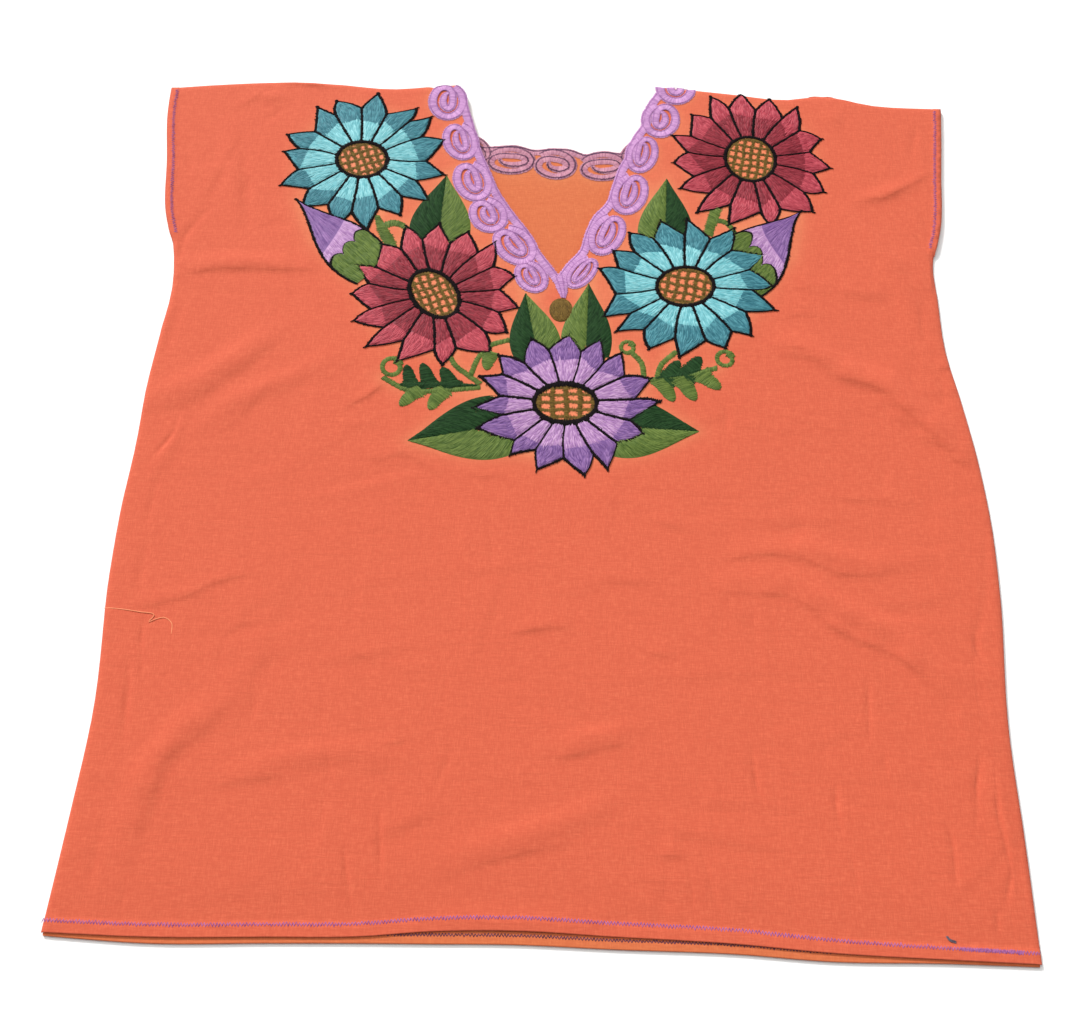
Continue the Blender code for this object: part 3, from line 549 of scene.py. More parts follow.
class Recipe:
    # one material: its tree, its shader, and the one way in which nodes are added
    def __init__(self, name, **constants):
        self.material = bpy.data.materials.new(name)
        self.material.use_nodes = True
        self.tree = self.material.node_tree
        self.shader = self.tree.nodes["Principled BSDF"]
        for socket, value in constants.items():
            self.shader.inputs[socket.replace("_", " ")].default_value = value

    def node(self, kind, settings=None, feeds=None, output=0):
        made = self.tree.nodes.new(kind)
        for key, value in (settings or {}).items():
            if key == "stops":
                for stop, (place, colour) in zip(made.color_ramp.elements, value):
                    stop.position, stop.color = place, colour
            else:
                setattr(made, key, value)
        for socket, value in (feeds or {}).items():
            self.feed(made.inputs[socket], value)
        return Wire(self, made.outputs[output])

    def feed(self, socket, value):
        if isinstance(value, Wire):
            self.tree.links.new(value.socket, socket)
        else:
            socket.default_value = value

    def blend(self, share, first, second):
        feeds = {"Factor": share, 6: first, 7: second}
        return self.node("ShaderNodeMix", {"data_type": "RGBA"}, feeds, 2)

    def noise(self, where, scale, detail=2.0):
        feeds = {"Vector": where, "Scale": scale, "Detail": detail}
        return self.node("ShaderNodeTexNoise", {}, feeds)

    def done(self, colour, height=None, depth=0.0, roughness=None):
        self.feed(self.shader.inputs["Base Color"], colour)
        if roughness is not None:
            self.feed(self.shader.inputs["Roughness"], roughness)
        if height is not None:
            feeds = {"Height": height, "Distance": depth, "Strength": 1.0}
            bump = self.node("ShaderNodeBump", {}, feeds)
            self.feed(self.shader.inputs["Normal"], bump)
        return self.material


def linear(red, green, blue, share=1.0):
    # a colour as read on a screen, 0 to 255, taken to linear light and dimmed by a share
    screen = np.array([red, green, blue]) / 255
    return (*(((screen + 0.055) / 1.055) ** 2.4 * share), 1.0)


# the weave's relief and colour; the streaks and mottle set how much painted wrinkle shade the
# colour gets
weave = {
    "pitch": 0.00052, "depth": 0.00005, "crumple": 6.0, "wrinkleShadeStreaks": 0.6, "wrinkleShadeMottle": 0.5, "drawn": 0.5,
    "slubs": ((210, 1500, 60), (1700, 230, 60), (28, 230, 60), (230, 24, 60)),  # stretched noises
}


def cottonFinish(name, colour, pale, deep, drawn):
    # plain weave: two sine ribs that cross, thick and thin yarns as stretched noise, fading
    # patches, and streaks and mottle of painted wrinkle shade; stitches draw the cloth thin and
    # pale around them
    recipe = Recipe(name, Roughness=0.9, Sheen_Weight=0.06, Sheen_Roughness=0.5)
    where = recipe.node("ShaderNodeTexCoord", output=3)
    place = recipe.node("ShaderNodeSeparateXYZ", {}, {0: where})
    across = Wire(recipe, place.socket.node.outputs[0])
    up = Wire(recipe, place.socket.node.outputs[1])
    turn = 2 * math.pi / weave["pitch"]
    warp, weft = (across * turn).sine(), (up * turn).sine()
    slubWeft, slubWarp, streakWeft, streakWarp = (
        recipe.noise(recipe.node("ShaderNodeMapping", {}, {"Vector": where, "Scale": scale}), 1, 3)
        for scale in weave["slubs"])
    patches = recipe.noise(where, 9.0, 4.0)
    yarn = slubWeft * 0.5 + slubWarp * 0.5
    # streaks and mottle paint the shade of small wrinkles into the colour; the patches are fading
    wrinkleShadeStreaks = streakWeft + streakWarp - 1.0
    wrinkleShadeMottle = (recipe.noise(where, 110.0, 3.0) - 0.5) * weave["wrinkleShadeMottle"]
    fadingAndPaintedShade = (patches - 0.32) * 0.8 + wrinkleShadeStreaks * weave["wrinkleShadeStreaks"] + wrinkleShadeMottle + 0.12
    shade = recipe.blend(fadingAndPaintedShade, colour, pale)
    body = recipe.blend((yarn - 0.44) * 2.0 + (warp * weft) * 0.06, deep, shade)
    beside = recipe.node("ShaderNodeAttribute", {"attribute_name": "beside"}, output=2)
    body = recipe.blend(beside * weave["drawn"], body, drawn)
    crumple = (streakWeft - 0.5).size() + (streakWarp - 0.5).size()
    relief = yarn * 1.6 + warp * weft * 0.35 - crumple * weave["crumple"]
    return recipe.done(body, relief, weave["depth"])


def threadFinish(name, deep, bright, roughness=0.5, gloss=0.2):
    # mercerised thread: each strand has its own tone, with a fine fibre grain; the wide spread of
    #     # strand tones and the cluster noise also paint the glints and dark gaps of the stitches
    recipe = Recipe(name, Roughness=roughness, Specular_IOR_Level=gloss)
    strand = recipe.node("ShaderNodeAttribute", {"attribute_name": "strand"}, output=2)
    where = recipe.node("ShaderNodeTexCoord", output=3)
    fibre = recipe.noise(where, 2600.0, 2.0)
    clusterGlintAndGap = recipe.noise(where, 420.0, 1.0)
    # the strand spread and the cluster noise paint glints and dark gaps between stitches
    shade = strand * 0.8 + (fibre - 0.5) * 0.35 + (clusterGlintAndGap - 0.5) * 0.5 + 0.08
    return recipe.done(recipe.blend(shade, deep, bright), fibre, 0.00004)


cotton = cottonFinish("cottonCoral", linear(217, 104, 70), linear(228, 119, 84),
                      linear(192, 81, 52), linear(215, 139, 92))
cottonInside = cottonFinish("cottonCoralInside", linear(213, 119, 68), linear(222, 132, 82),
                            linear(190, 94, 51), linear(213, 139, 90))
# Thread colours: deep, bright, and for some their roughness and gloss; the span from deep to bright
# # holds the threads' real tones together with painted glints and shade
threadColours = {
    "tealLight": ("threadTealLight", (82, 156, 164), (146, 205, 209)),
    "tealDeep": ("threadTealDeep", (34, 92, 105), (84, 147, 157), 0.5, 0.14),
    "roseLight": ("threadRoseLight", (140, 36, 52), (194, 81, 92)),
    "roseDeep": ("threadRoseDeep", (103, 23, 35), (158, 56, 67), 0.5, 0.14),
    "violetLight": ("threadLilac", (139, 95, 149), (197, 158, 195)),
    "violetDeep": ("threadViolet", (92, 60, 118), (150, 112, 164), 0.5, 0.14),
    "lavender": ("threadLavender", (166, 116, 168), (208, 159, 204)),
    "plum": ("threadPlum", (144, 92, 148), (182, 128, 182)),
    "back": ("threadBackOfBraid", (152, 94, 118), (204, 147, 163)),
    "dusk": ("threadDusk", (46, 27, 52), (88, 57, 88), 0.6, 0.1),
    "greenLight": ("threadGreenLight", (54, 78, 22), (108, 126, 58), 0.55, 0.14),
    "greenDeep": ("threadGreenDeep", (12, 37, 15), (43, 75, 40), 0.6, 0.06),
    "seed": ("threadSeed", (74, 54, 14), (122, 95, 40), 0.6, 0.12),
    "black": ("threadBlack", (4, 2, 3), (24, 15, 18), 0.75, 0.08),
    "hem": ("threadHem", (118, 58, 112), (168, 102, 154)),
    "seam": ("threadSeam", (120, 42, 30), (166, 68, 48), 0.6, 0.1),
    "slate": ("threadSlate", (52, 46, 56), (126, 116, 128), 0.6, 0.1),
    "coral": ("threadCoral", (204, 104, 66), (226, 136, 96)),
}
threads = {key: threadFinish(name, linear(*deep), linear(*bright), *rest)
           for key, (name, deep, bright, *rest) in threadColours.items()}
print("finishes made")


# How deep a covered stitch goes, and how far a thread's edges lie below its crown in its own widths
needle = {"sinkBy": 1.7, "drop": 0.38}


class Needlework:
    # gathers threads and grids that become one mesh, four-cornered faces all through
    def __init__(self, seed, covers=()):
        # covers: rings of the motifs that lie over this one, under which its threads sink away
        self.dice = np.random.default_rng(seed)
        self.covers = covers
        self.points, self.faces, self.strands, self.count = [], [], [], 0

    def add(self, grid, strands):
        # grid: pieces x rows x columns x 3, joined along rows and columns
        pieces, rows, columns, _ = grid.shape
        number = np.arange(pieces * rows * columns).reshape(pieces, rows, columns) + self.count
        quads = np.stack([number[:, :-1, :-1], number[:, 1:, :-1], number[:, 1:, 1:],
                          number[:, :-1, 1:]], axis=-1)
        self.points.append(grid.reshape(-1, 3))
        self.faces.append(quads.reshape(-1, 4))
        self.strands.append(np.broadcast_to(strands, grid.shape[:3]).ravel())
        self.count += number.size

    def bed(self, flat, heights, strand=0.35):
        # a padded surface under the threads: pieces x rows x columns
        heights = heights - needle["sinkBy"] * insideAny(flat, self.covers)
        flat, _ = keepBelowFold(flat)
        self.add(np.concatenate([flat, heights[..., None]], axis=-1), strand)

    def threads(self, paths, heights, width, blunt=0.45):
        # a thread is a low roof along its path: right edge, crown, left edge, narrower at its ends
        hidden = insideAny(paths, self.covers)
        paths, over = keepBelowFold(paths)
        shown = ~hidden.all(1) & ~over.all(1)
        paths, heights = paths[shown], (heights - needle["sinkBy"] * hidden)[shown]
        width = np.broadcast_to(width, len(shown))[shown]
        ends = np.ones(paths.shape[1])
        ends[[0, -1]] = blunt
        side = leftOf(np.gradient(paths, axis=1)) * ends[:, None]
        side = side * np.reshape(width, (-1, 1, 1)) / 2
        drop = needle["drop"] * np.reshape(width, (-1, 1)) * np.ones_like(heights)
        flat = np.stack([paths - side, paths, paths + side], axis=2)
        rise = np.stack([heights - drop, heights, heights - drop], axis=2)
        roofs = np.concatenate([flat, rise[..., None]], axis=-1)
        self.add(roofs, self.dice.random((len(paths), 1, 1)))

    def crossing(self, line, width, pitch, lift, surface, slant=0.25, ragged=0.12, thick=0.62,
                 rim=0.35, closed=False, blunt=0.8, heading=None):
        # satin line: threads lie across a path, each a little slanted and of uneven length, over a
        # low bed; with a heading they all lie that way, so the line thins where it runs along it
        path = spaced(line, pitch)
        way = np.gradient(path, axis=0)
        if closed:
            way = np.roll(path, -1, axis=0) - np.roll(path, 1, axis=0)
        side, ahead = leftOf(way), way / np.hypot(*way.T)[:, None]
        widths = np.atleast_1d(np.asarray(width, float))
        half = np.interp(np.linspace(0, 1, len(path)), np.linspace(0, 1, len(widths)), widths) / 2
        flip = np.where(np.arange(len(path)) % 2, 1.0, -1.0) * slant
        reach = half * (1 + ragged * self.dice.normal(size=(2, len(path))))
        slanted = slant + 0.3 * flip + 0.1 * self.dice.normal(size=len(path))
        across = side + ahead * slanted[:, None]
        if heading is not None:
            lay = np.array(compass(heading))
            astray = 0.5 * flip + 0.05 * self.dice.normal(size=len(path))
            across = lay + (side + ahead) * astray[:, None]
            half = np.maximum(half * np.abs(side @ lay), 0.4 * thick)
        first, last = path - across * reach[0][:, None], path + across * reach[1][:, None]
        share = np.array([0, 0.5, 1.0])[:, None]
        paths = first[:, None] + share * (last - first)[:, None]
        arch = np.array([rim, 1.0, rim]) * lift
        self.threads(paths, surface(paths) + arch, thick, blunt)
        edge = np.array([-0.9, 0, 0.9])[:, None]
        flat = path[:, None] + edge * (side * half[:, None])[:, None]
        low = max(0.02, rim * lift - 0.25)
        self.bed(flat[None], (surface(flat) + np.array([low, lift - 0.22, low]))[None])

    def piece(self, name, finish, slot, nodes=()):
        points, faces = np.concatenate(self.points), np.concatenate(self.faces)
        made = meshPiece(name, points, faces, np.concatenate(self.strands))
        print(name, len(faces) * 2, "triangles")
        return settle(made, threads[finish], nodes)


# Flowers: place, radii, turn of the first petal, disc (half long, half wide, turn), threads, seed,
# where the inner tone ends, the black stitches' heading, the ring's widths, and the disc's bars:
# their heading, step and width, and the step and width of the bars across them
flowers = {
    "flowerShoulderLeft": {
        "node": "flower_shoulder_left", "at": (-129.9, 503.4), "radius": (54.5, 55.5), "turn": 12,
        "disc": (16.2, 14.0, -8), "thread": "teal", "slot": "teal_thread", "seed": 289,
        "tone": 0.465,
        "under": "budLeft", "heading": 8, "ring": (3.2, 2.8, 3.0, 2.4, 3.2),
        "bars": (111, 4.9, 3.6, 5.6, 2.6)},
    "flowerShoulderRight": {
        "node": "flower_shoulder_right", "at": (129.7, 510.6), "radius": (53.5, 57.0), "turn": 22,
        "disc": (15.8, 17.8, 0), "thread": "rose", "slot": "rose_thread", "seed": 178,
        "tone": 0.485,
        "under": "budRight", "heading": -6, "ring": (2.6, 2.2, 2.6, 2.6, 2.6),
        "bars": (81, 5.2, 3.2, 5.4, 2.4)},
    "flowerChestLeft": {
        "node": "flower_chest_left", "at": (-75.7, 396.4), "radius": (54.5, 54.0), "turn": 18,
        "disc": (19.0, 13.0, -54), "thread": "rose", "slot": "rose_thread", "seed": 178,
        "tone": 0.495,
        "heading": 16, "ring": (3.2, 3.0, 3.2, 3.4, 3.2),
        "bars": (113, 4.9, 3.4, 5.6, 2.4)},
    "flowerChestRight": {
        "node": "flower_chest_right", "at": (83.9, 406.2), "radius": (57.0, 52.5), "turn": 8,
        "disc": (17.4, 13.8, 10), "thread": "teal", "slot": "teal_thread", "seed": 185,
        "tone": 0.435,
        "heading": 6, "ring": (2.6, 2.4, 2.6, 2.8, 2.6),
        "bars": (79, 5.9, 3.4, 6.0, 2.6)},
    "flowerLower": {
        "node": "flower_lower", "at": (8.6, 318.4), "radius": (55.0, 48.5), "turn": 18,
        "disc": (18.3, 12.8, 0), "thread": "violet", "slot": "violet_thread", "seed": 443,
        "tone": 0.485,
        "heading": 68, "ring": (3.2, 4.6, 3.2, 4.4, 3.2),
        "bars": (2, 5.2, 3.2, 8.4, 3.9)},
}
petals = {
    "count": 15, "notch": 0.765, "shoulder": 0.62, "toneOval": 0.04,
    "rows": 8, "overlap": 1.2, "pitch": 0.62, "thread": 0.78,
    "low": 0.2, "high": 0.85, "swell": 2.6, "bedDrop": 0.14, "discGap": 0.6, "shrunk": 0.982,
    "outline": 2.15, "outlinePitch": 0.66, "outlineThread": 0.86, "outlineLift": 1.0,
    "ringLift": 1.2, "ringOut": 1.0,
}
discShape = {
    "eachWay": 5, "reach": 22, "pitch": 0.6, "lifts": (0.6, 0.78), "edge": 0.99,
    "rim": 1.8, "rimIn": 0.6, "rimLift": 0.6, "ground": 0.16,
}


def discReach(flower, way):
    # distance from the flower's middle to its disc's edge in a given direction
    long, wide, turn = flower["disc"]
    c, s = compass(turn)
    unit = way / np.hypot(way[..., 0], way[..., 1])[..., None]
    return 1 / np.hypot((unit @ (c, s)) / long, (unit @ (-s, c)) / wide)


class Flower:
    # the plan of one flower: where petals part, their notches and their tips, each a little uneven
    def __init__(self, flower):
        dice = np.random.default_rng(flower["seed"])
        count = petals["count"]
        gap = 2 * math.pi / count
        self.middle = np.array(flower["at"])
        places = np.arange(count) - 0.5 + dice.normal(0, 0.06, count)
        parting = math.radians(flower["turn"]) + places * gap
        parting = np.append(parting, parting[0] + 2 * math.pi)
        notch = petals["notch"] + dice.uniform(-0.045, 0.045, count)
        notch = np.append(notch, notch[0])
        drift = dice.normal(0, 0.05, count) * gap
        drift = np.append(drift, drift[0])
        lean = dice.uniform(-0.36, 0.36, count)
        tip = parting[:-1] + (0.5 + lean) * gap
        reach = dice.uniform(0.95, 1.05, count)
        base = self.out(flower, parting, 1.0)
        way = base - self.middle
        reachOut = (discReach(flower, way) + petals["discGap"])[:, None]
        self.base = self.middle + way / np.hypot(*way.T)[:, None] * reachOut
        self.notch = self.out(flower, parting + drift, notch)
        self.tip = self.out(flower, tip, reach)
        bow = dice.normal(0, 0.5, count)
        self.bow = np.append(bow, bow[0])
        self.belly = dice.uniform(-0.5, 1.3, (2, count))
        oval = petals["toneOval"] * np.cos(2 * tip)
        self.tone = flower["tone"] + oval + dice.uniform(-0.04, 0.04, count)
        self.toneTilt = dice.normal(0, 0.05, count)

    def out(self, flower, angle, share):
        spoke = np.stack([np.cos(angle), np.sin(angle)], axis=-1) * flower["radius"]
        return self.middle + spoke * np.reshape(share, (-1, 1))

    def edge(self, which, side, v):
        # side of a petal from the disc (v = 0) past its shoulder to its tip (v = 1)
        at = which + (side > 0)
        start, turn, end = self.base[at], self.notch[at], self.tip[which]
        s = np.clip(v / petals["shoulder"], 0, 1)[..., None]
        t = np.clip((v - petals["shoulder"]) / (1 - petals["shoulder"]), 0, 1)[..., None]
        bow = self.bow[at][..., None] * leftOf(turn - start)
        belly = side * self.belly[0 if side < 0 else 1][which][..., None] * leftOf(end - turn)
        lower = start + s * (turn - start) + np.sin(math.pi * s) * bow
        upper = turn + t * (end - turn) - np.sin(math.pi * t) * -belly
        return np.where((v < petals["shoulder"])[..., None], lower, upper)

    def spot(self, which, u, v):
        # a place in a petal: u from -1 to 1 across it, v from 0 to 1 along it
        share = (np.asarray(u)[..., None] + 1) / 2
        return self.edge(which, -1, v) * (1 - share) + self.edge(which, 1, v) * share

    def width(self, which, v):
        return np.hypot(*np.moveaxis(self.edge(which, 1, v) - self.edge(which, -1, v), -1, 0))

    def rise(self, which, u, v):
        # satin stands full in a petal's middle and falls to its edges, where the black lines lie
        inward = (1 - np.abs(u)) * self.width(which, v) / 2
        along = np.clip(v / 0.07, 0.0, 1) * np.clip((1 - v) / 0.1, 0.0, 1)
        full = (petals["high"] - petals["low"]) * fade(inward / petals["swell"]) * along
        return petals["low"] + full

    def ring(self):
        # the flower's outline from notch to tip to notch
        v = np.linspace(petals["shoulder"], 1, 7)
        parts = []
        for petal in range(petals["count"]):
            at = np.full(v.shape, petal)
            parts += [self.edge(at, -1, v), self.edge(at[1:], 1, v[::-1][1:])]
        ring = np.concatenate(parts)
        return self.middle + (ring - self.middle) * petals["shrunk"]


def petalThreads(inner, outer, plan):
    # long-and-short filling: each row of a petal has as many stitches as its width holds, shifted
    count, rows = petals["count"], petals["rows"]
    petal, row = np.meshgrid(np.arange(count), np.arange(rows), indexing="ij")
    wide = plan.width(petal, (row + 0.5) / rows)
    number = np.maximum(2, np.round(wide / petals["pitch"]).astype(int)).ravel()
    which, row = np.repeat(petal.ravel(), number), np.repeat(row.ravel(), number)
    place = np.arange(number.sum()) - np.repeat(np.cumsum(number) - number, number)
    dice = inner.dice
    u = 2 * (place + 0.5 + dice.uniform(-0.3, 0.3, place.size)) / np.repeat(number, number) - 1
    shift = dice.uniform(-0.5, 0.5, u.size)
    first = np.clip((row + shift) / rows, 0.0, 0.97)
    last = np.clip((row + shift + petals["overlap"]) / rows, 0.04, 0.99)
    tone = plan.tone[which] + plan.toneTilt[which] * u
    outward = (first + last) / 2 > tone + dice.normal(0, 0.01, u.size)
    meet = tone + dice.normal(0, 0.022, u.size)
    first = np.where(outward, np.clip(first, meet - 0.02, last - 0.03), first)
    last = np.where(outward, last, np.maximum(np.minimum(last, meet + 0.02), first + 0.03))
    t = np.array([0, 0.3, 0.7, 1.0])
    for work, chosen in ((inner, ~outward), (outer, outward)):
        at = np.broadcast_to(which[chosen][:, None], (chosen.sum(), 4))
        v = first[chosen][:, None] + t * (last - first)[chosen][:, None]
        drift = work.dice.normal(0, 0.05, (chosen.sum(), 1)) * (t - 0.5)
        across = np.clip(u[chosen][:, None] + drift, -0.98, 0.98)
        paths = plan.spot(at, across, v)
        lie = work.dice.uniform(-0.04, 0.1, (chosen.sum(), 1)) + np.array([-0.2, 0.12, 0.12, -0.2])
        work.threads(paths, clothUp(paths) + plan.rise(at, across, v) + lie, petals["thread"])


def makeFlower(name, flower):
    # inner and outer filling over beds that follow each petal, then the black lines and the disc
    plan = plans[name]
    count = petals["count"]
    covers = [budRing(buds[flower["under"]])] if "under" in flower else []
    inner = Needlework(flower["seed"] + 100, covers)
    outer = Needlework(flower["seed"] + 200, covers)
    light, deep = flower["thread"] + "Light", flower["thread"] + "Deep"
    innerThread, outerThread = (deep, light) if flower["thread"] == "rose" else (light, deep)
    u = np.broadcast_to(np.linspace(-1, 1, 9)[None, None], (count, 7, 9))
    which = np.broadcast_to(np.arange(count)[:, None, None], u.shape)
    tone = plan.tone[:, None, None] + plan.toneTilt[:, None, None] * u
    share = np.linspace(0, 1, 7)[None, :, None]
    for work, v in ((inner, tone * share), (outer, tone + (1 - tone) * share)):
        flat = plan.spot(which, u, v)
        work.bed(flat, clothUp(flat) + plan.rise(which, u, v) - petals["bedDrop"], 0.15)
    petalThreads(inner, outer, plan)
    inner.piece(name + "Inner", innerThread, flower["slot"], [flower["node"]])
    outer.piece(name + "Outer", outerThread, flower["slot"], [flower["node"]])
    # black satin lines along every parting and round every tip, then the ring round the disc
    lines = Needlework(flower["seed"] + 300, covers)
    width, pitch, lift = petals["outline"], petals["outlinePitch"], petals["outlineLift"]
    v = np.linspace(0, 1, 30)
    high = v[v >= petals["shoulder"] - 0.02]
    for petal in range(count):
        tipOver = plan.tip[petal] + (plan.tip[petal] - plan.middle) * 0.02
        for side, along in ((-1, v), (1, high)):
            path = np.vstack([plan.edge(np.full(along.shape, petal), side, along), tipOver])
            lines.crossing(path, width, pitch, lift, clothUp, ragged=0.22, rim=0.55, blunt=0.6,
                           thick=petals["outlineThread"], heading=flower["heading"])
    long, wide, turn = flower["disc"]
    out = petals["ringOut"]
    ring = oval(flower["at"], wide + out, long + out, turn, 90)
    lines.crossing(np.vstack([ring, ring[:1]]), flower["ring"], pitch, petals["ringLift"], clothUp,
                   slant=0.2, ragged=0.2, thick=petals["outlineThread"], rim=0.6, closed=True,
                   blunt=0.6)
    lines.piece(name + "Outline", "black", "outline_thread")
    makeDisc(name + "Disc", flower)


def makeDisc(name, flower):
    # couched lattice: wide bars one way, narrow bars the other, cut off at the disc's edge
    work = Needlework(flower["seed"] + 400)
    long, wide, turn = flower["disc"]
    angle, step, bar, crossStep, crossBar = flower["bars"]
    middle = np.array(flower["at"])
    c, s = compass(turn)
    bars = ((angle, step, bar), (angle + 90, crossStep, crossBar))
    for (heading, apart, width), lift in zip(bars, discShape["lifts"]):
        way = np.array(compass(heading))
        side = np.array([-way[1], way[0]])
        order = np.arange(-discShape["eachWay"], discShape["eachWay"] + 1)
        for k in order * apart + work.dice.uniform(-0.8, 0.8):
            t = np.arange(-discShape["reach"], discShape["reach"], discShape["pitch"])
            wobble = 0.35 * np.sin(t / 3.1 + k) + work.dice.normal(0, 0.12, t.size)
            path = middle + side * (k + wobble)[:, None] + way * t[:, None]
            reach = np.hypot(((path - middle) @ (c, s)) / long, ((path - middle) @ (-s, c)) / wide)
            path = path[reach < discShape["edge"]]
            if len(path) < 4:
                continue
            work.crossing(path, width, discShape["pitch"], lift, clothUp, slant=0.15, ragged=0.24,
                          blunt=0.6)
    rim = oval(flower["at"], wide - discShape["rimIn"], long - discShape["rimIn"], turn, 80)
    work.crossing(np.vstack([rim, rim[:1]]), discShape["rim"], discShape["pitch"],
                  discShape["rimLift"], clothUp, ragged=0.4, closed=True)
    work.piece(name, "seed", "seed_thread", [flower["node"] + "_disc"])
    ground = Needlework(flower["seed"] + 500)
    share, around = polarGrid(0.02, 1.06, 6, 41)
    rim = ovalPoint((0, 0), wide, long, turn, around)
    flat = middle + share[..., None] * rim
    high = clothUp(flat) + discShape["ground"]
    ground.bed(flat[None, :, ::-1], high[None, :, ::-1])
    ground.piece(name + "Ground", "coral", "cotton")


# Leaves: node, tip, root, half width, sideways bow; threads of the left and the right half, seen
# with the tip up
leaves = {
    "leafChestLeft": ("leaf_chest_left", (-72.8, 491.8), (-76, 425), 20, 0,
                      "greenDeep", "greenLight"),
    "leafChestRight": ("leaf_chest_right", (73.4, 493), (71, 426), 18, 0,
                       "greenLight", "greenDeep"),
    "leafNeckLeft": ("leaf_neck_left", (-18, 399), (-7, 342), 16, 0,
                     "greenDeep", "greenLight"),
    "leafNeckRight": ("leaf_neck_right", (22.3, 407.4), (20.5, 342), 16, 0,
                      "greenLight", "greenDeep"),
    "leafWaistLeft": ("leaf_waist_left", (-86.8, 290), (-12, 306), 22, 0,
                      "greenLight", "greenDeep"),
    "leafWaistRight": ("leaf_waist_right", (90.6, 301), (23, 303.4), 21, 0,
                       "greenDeep", "greenLight"),
}
leafShape = {
    "closing": 0.75, "taper": 1.2, "rows": 4, "slant": 1.3, "pitch": 0.5, "thread": 0.7,
    "low": 0.2, "high": 0.85,
}


class Leaf:
    # a rib from tip to root; its half width is a power of a sine of the share travelled
    def __init__(self, tip, root, half, bow, closing, taper):
        self.tip, self.root = np.array(tip, float), np.array(root, float)
        self.length = np.hypot(*(self.root - self.tip))
        self.way = (self.root - self.tip) / self.length
        self.side = np.array([-self.way[1], self.way[0]])
        self.half, self.bow, self.closing, self.taper = half, bow, closing, taper

    def spread(self, t):
        return self.half * np.sin(self.closing * math.pi * np.clip(t, 0, 1.2)) ** self.taper

    def spot(self, t, w):
        # w runs from -1 at the edge on the rib's right to 1 on its left, looking from tip to root
        t, w = np.broadcast_arrays(t, w)
        rib = self.tip + t[..., None] * (self.root - self.tip)
        off = w * self.spread(t) + self.bow * np.sin(math.pi * t)
        return rib + off[..., None] * self.side

    def rise(self, t, w):
        # full along the middle of each half, low at the rib and the edges
        hump = np.sin(math.pi * np.clip(np.abs(w), 0, 1)) ** 0.7 * np.clip(t / 0.15, 0, 1)
        return leafShape["low"] + (leafShape["high"] - leafShape["low"]) * hump


def leafHalf(work, leaf, side, last=1.0):
    # short stitches slant from the rib out and towards the tip, in rows that interlock
    dice, rows = work.dice, leafShape["rows"]
    for row in range(rows):
        t = np.arange(0.03, last, leafShape["pitch"] / leaf.length)
        kept = dice.random(t.size) < leaf.spread(t) / leaf.half * 1.15 + 0.12
        t = t[kept] + dice.uniform(-0.012, 0.012, kept.sum())
        w0 = np.clip((row + dice.uniform(-0.35, 0.25, t.size)) / rows * (row > 0), -0.04, 1)
        w0 += (row == 0) * dice.uniform(-0.05, 0.03, t.size)
        w1 = np.clip((row + 1.2 + dice.uniform(-0.3, 0.3, t.size)) / rows, 0, 1)
        share = np.array([0, 0.33, 0.67, 1.0])
        w = w0[:, None] + share * (w1 - w0)[:, None]
        slant = leafShape["slant"] * leaf.spread(t)[:, None] / leaf.length
        along = np.clip(t[:, None] - slant * w, 0.0, 1)
        paths = leaf.spot(along, side * w)
        arch = np.array([-0.16, 0.12, 0.12, -0.16]) + dice.uniform(-0.06, 0.08, (t.size, 1))
        work.threads(paths, clothUp(paths) + leaf.rise(along, w) + arch, leafShape["thread"])
    grid = np.meshgrid(np.linspace(0.01, last, 26), np.linspace(0, 1, 7), indexing="ij")
    flat = leaf.spot(grid[0], side * grid[1])
    order = slice(None, None, -1) if side < 0 else slice(None)
    work.bed(flat[None, :, order], (clothUp(flat) + leaf.rise(*grid) - 0.12)[None, :, order])


def makeLeaf(name, row):
    node, tip, root, half, bow, leftThread, rightThread = row
    leaf = Leaf(tip, root, half, bow, leafShape["closing"], leafShape["taper"])
    for side, thread in ((-1, leftThread), (1, rightThread)):
        work = Needlework(len(name) * 7 + side, flowerRings)
        leafHalf(work, leaf, side)
        work.piece(name + ("A" if side < 0 else "B"), thread, "leaf_thread", [node])


# Buds: where the paler band and the calyx begin along the rib, each as place, change across and
# lobe depth, and where the calyx ends
buds = {
    "budLeft": {
        "node": "bud_left", "calyx": "calyx_left", "tip": (-169.8, 468.6), "root": (-124, 422),
        "half": 18.0, "bow": 0.0, "split": (0.60, -0.09, 0.0), "lobes": (0.745, -0.055, 0.075),
        "end": 1.19, "over": "flowerChestLeft"},
    "budRight": {
        "node": "bud_right", "calyx": "calyx_right", "tip": (160.6, 467.6), "root": (120.5, 418.5),
        "half": 22.5, "bow": -1.5, "split": (0.52, 0.125, 0.0), "lobes": (0.655, 0.14, 0.11),
        "end": 1.12, "over": "flowerChestRight"},
}
budShape = {
    "closing": 0.56, "taper": 1.5, "strands": 76, "thread": 0.66, "line": 2.1, "heading": 8,
    "low": 0.25, "bedLow": 0.1, "dome": 0.65,
}


def budLeaf(bud):
    return Leaf(bud["tip"], bud["root"], bud["half"], bud["bow"],
                budShape["closing"], budShape["taper"])


def budRing(bud):
    # the bud's outline, a little inside its edges
    t = np.linspace(0.0, 0.86, 30)
    leaf = budLeaf(bud)
    return np.vstack([leaf.spot(t, -0.97), leaf.spot(t[::-1], 0.97)])


def acrossBud(row, w):
    # a line across the bud: a slope, with three round lobes where it has a depth
    place, slope, depth = row
    return place + slope * w + depth * (1 - np.abs(np.sin(1.5 * math.pi * (w + 1))) ** 0.6)


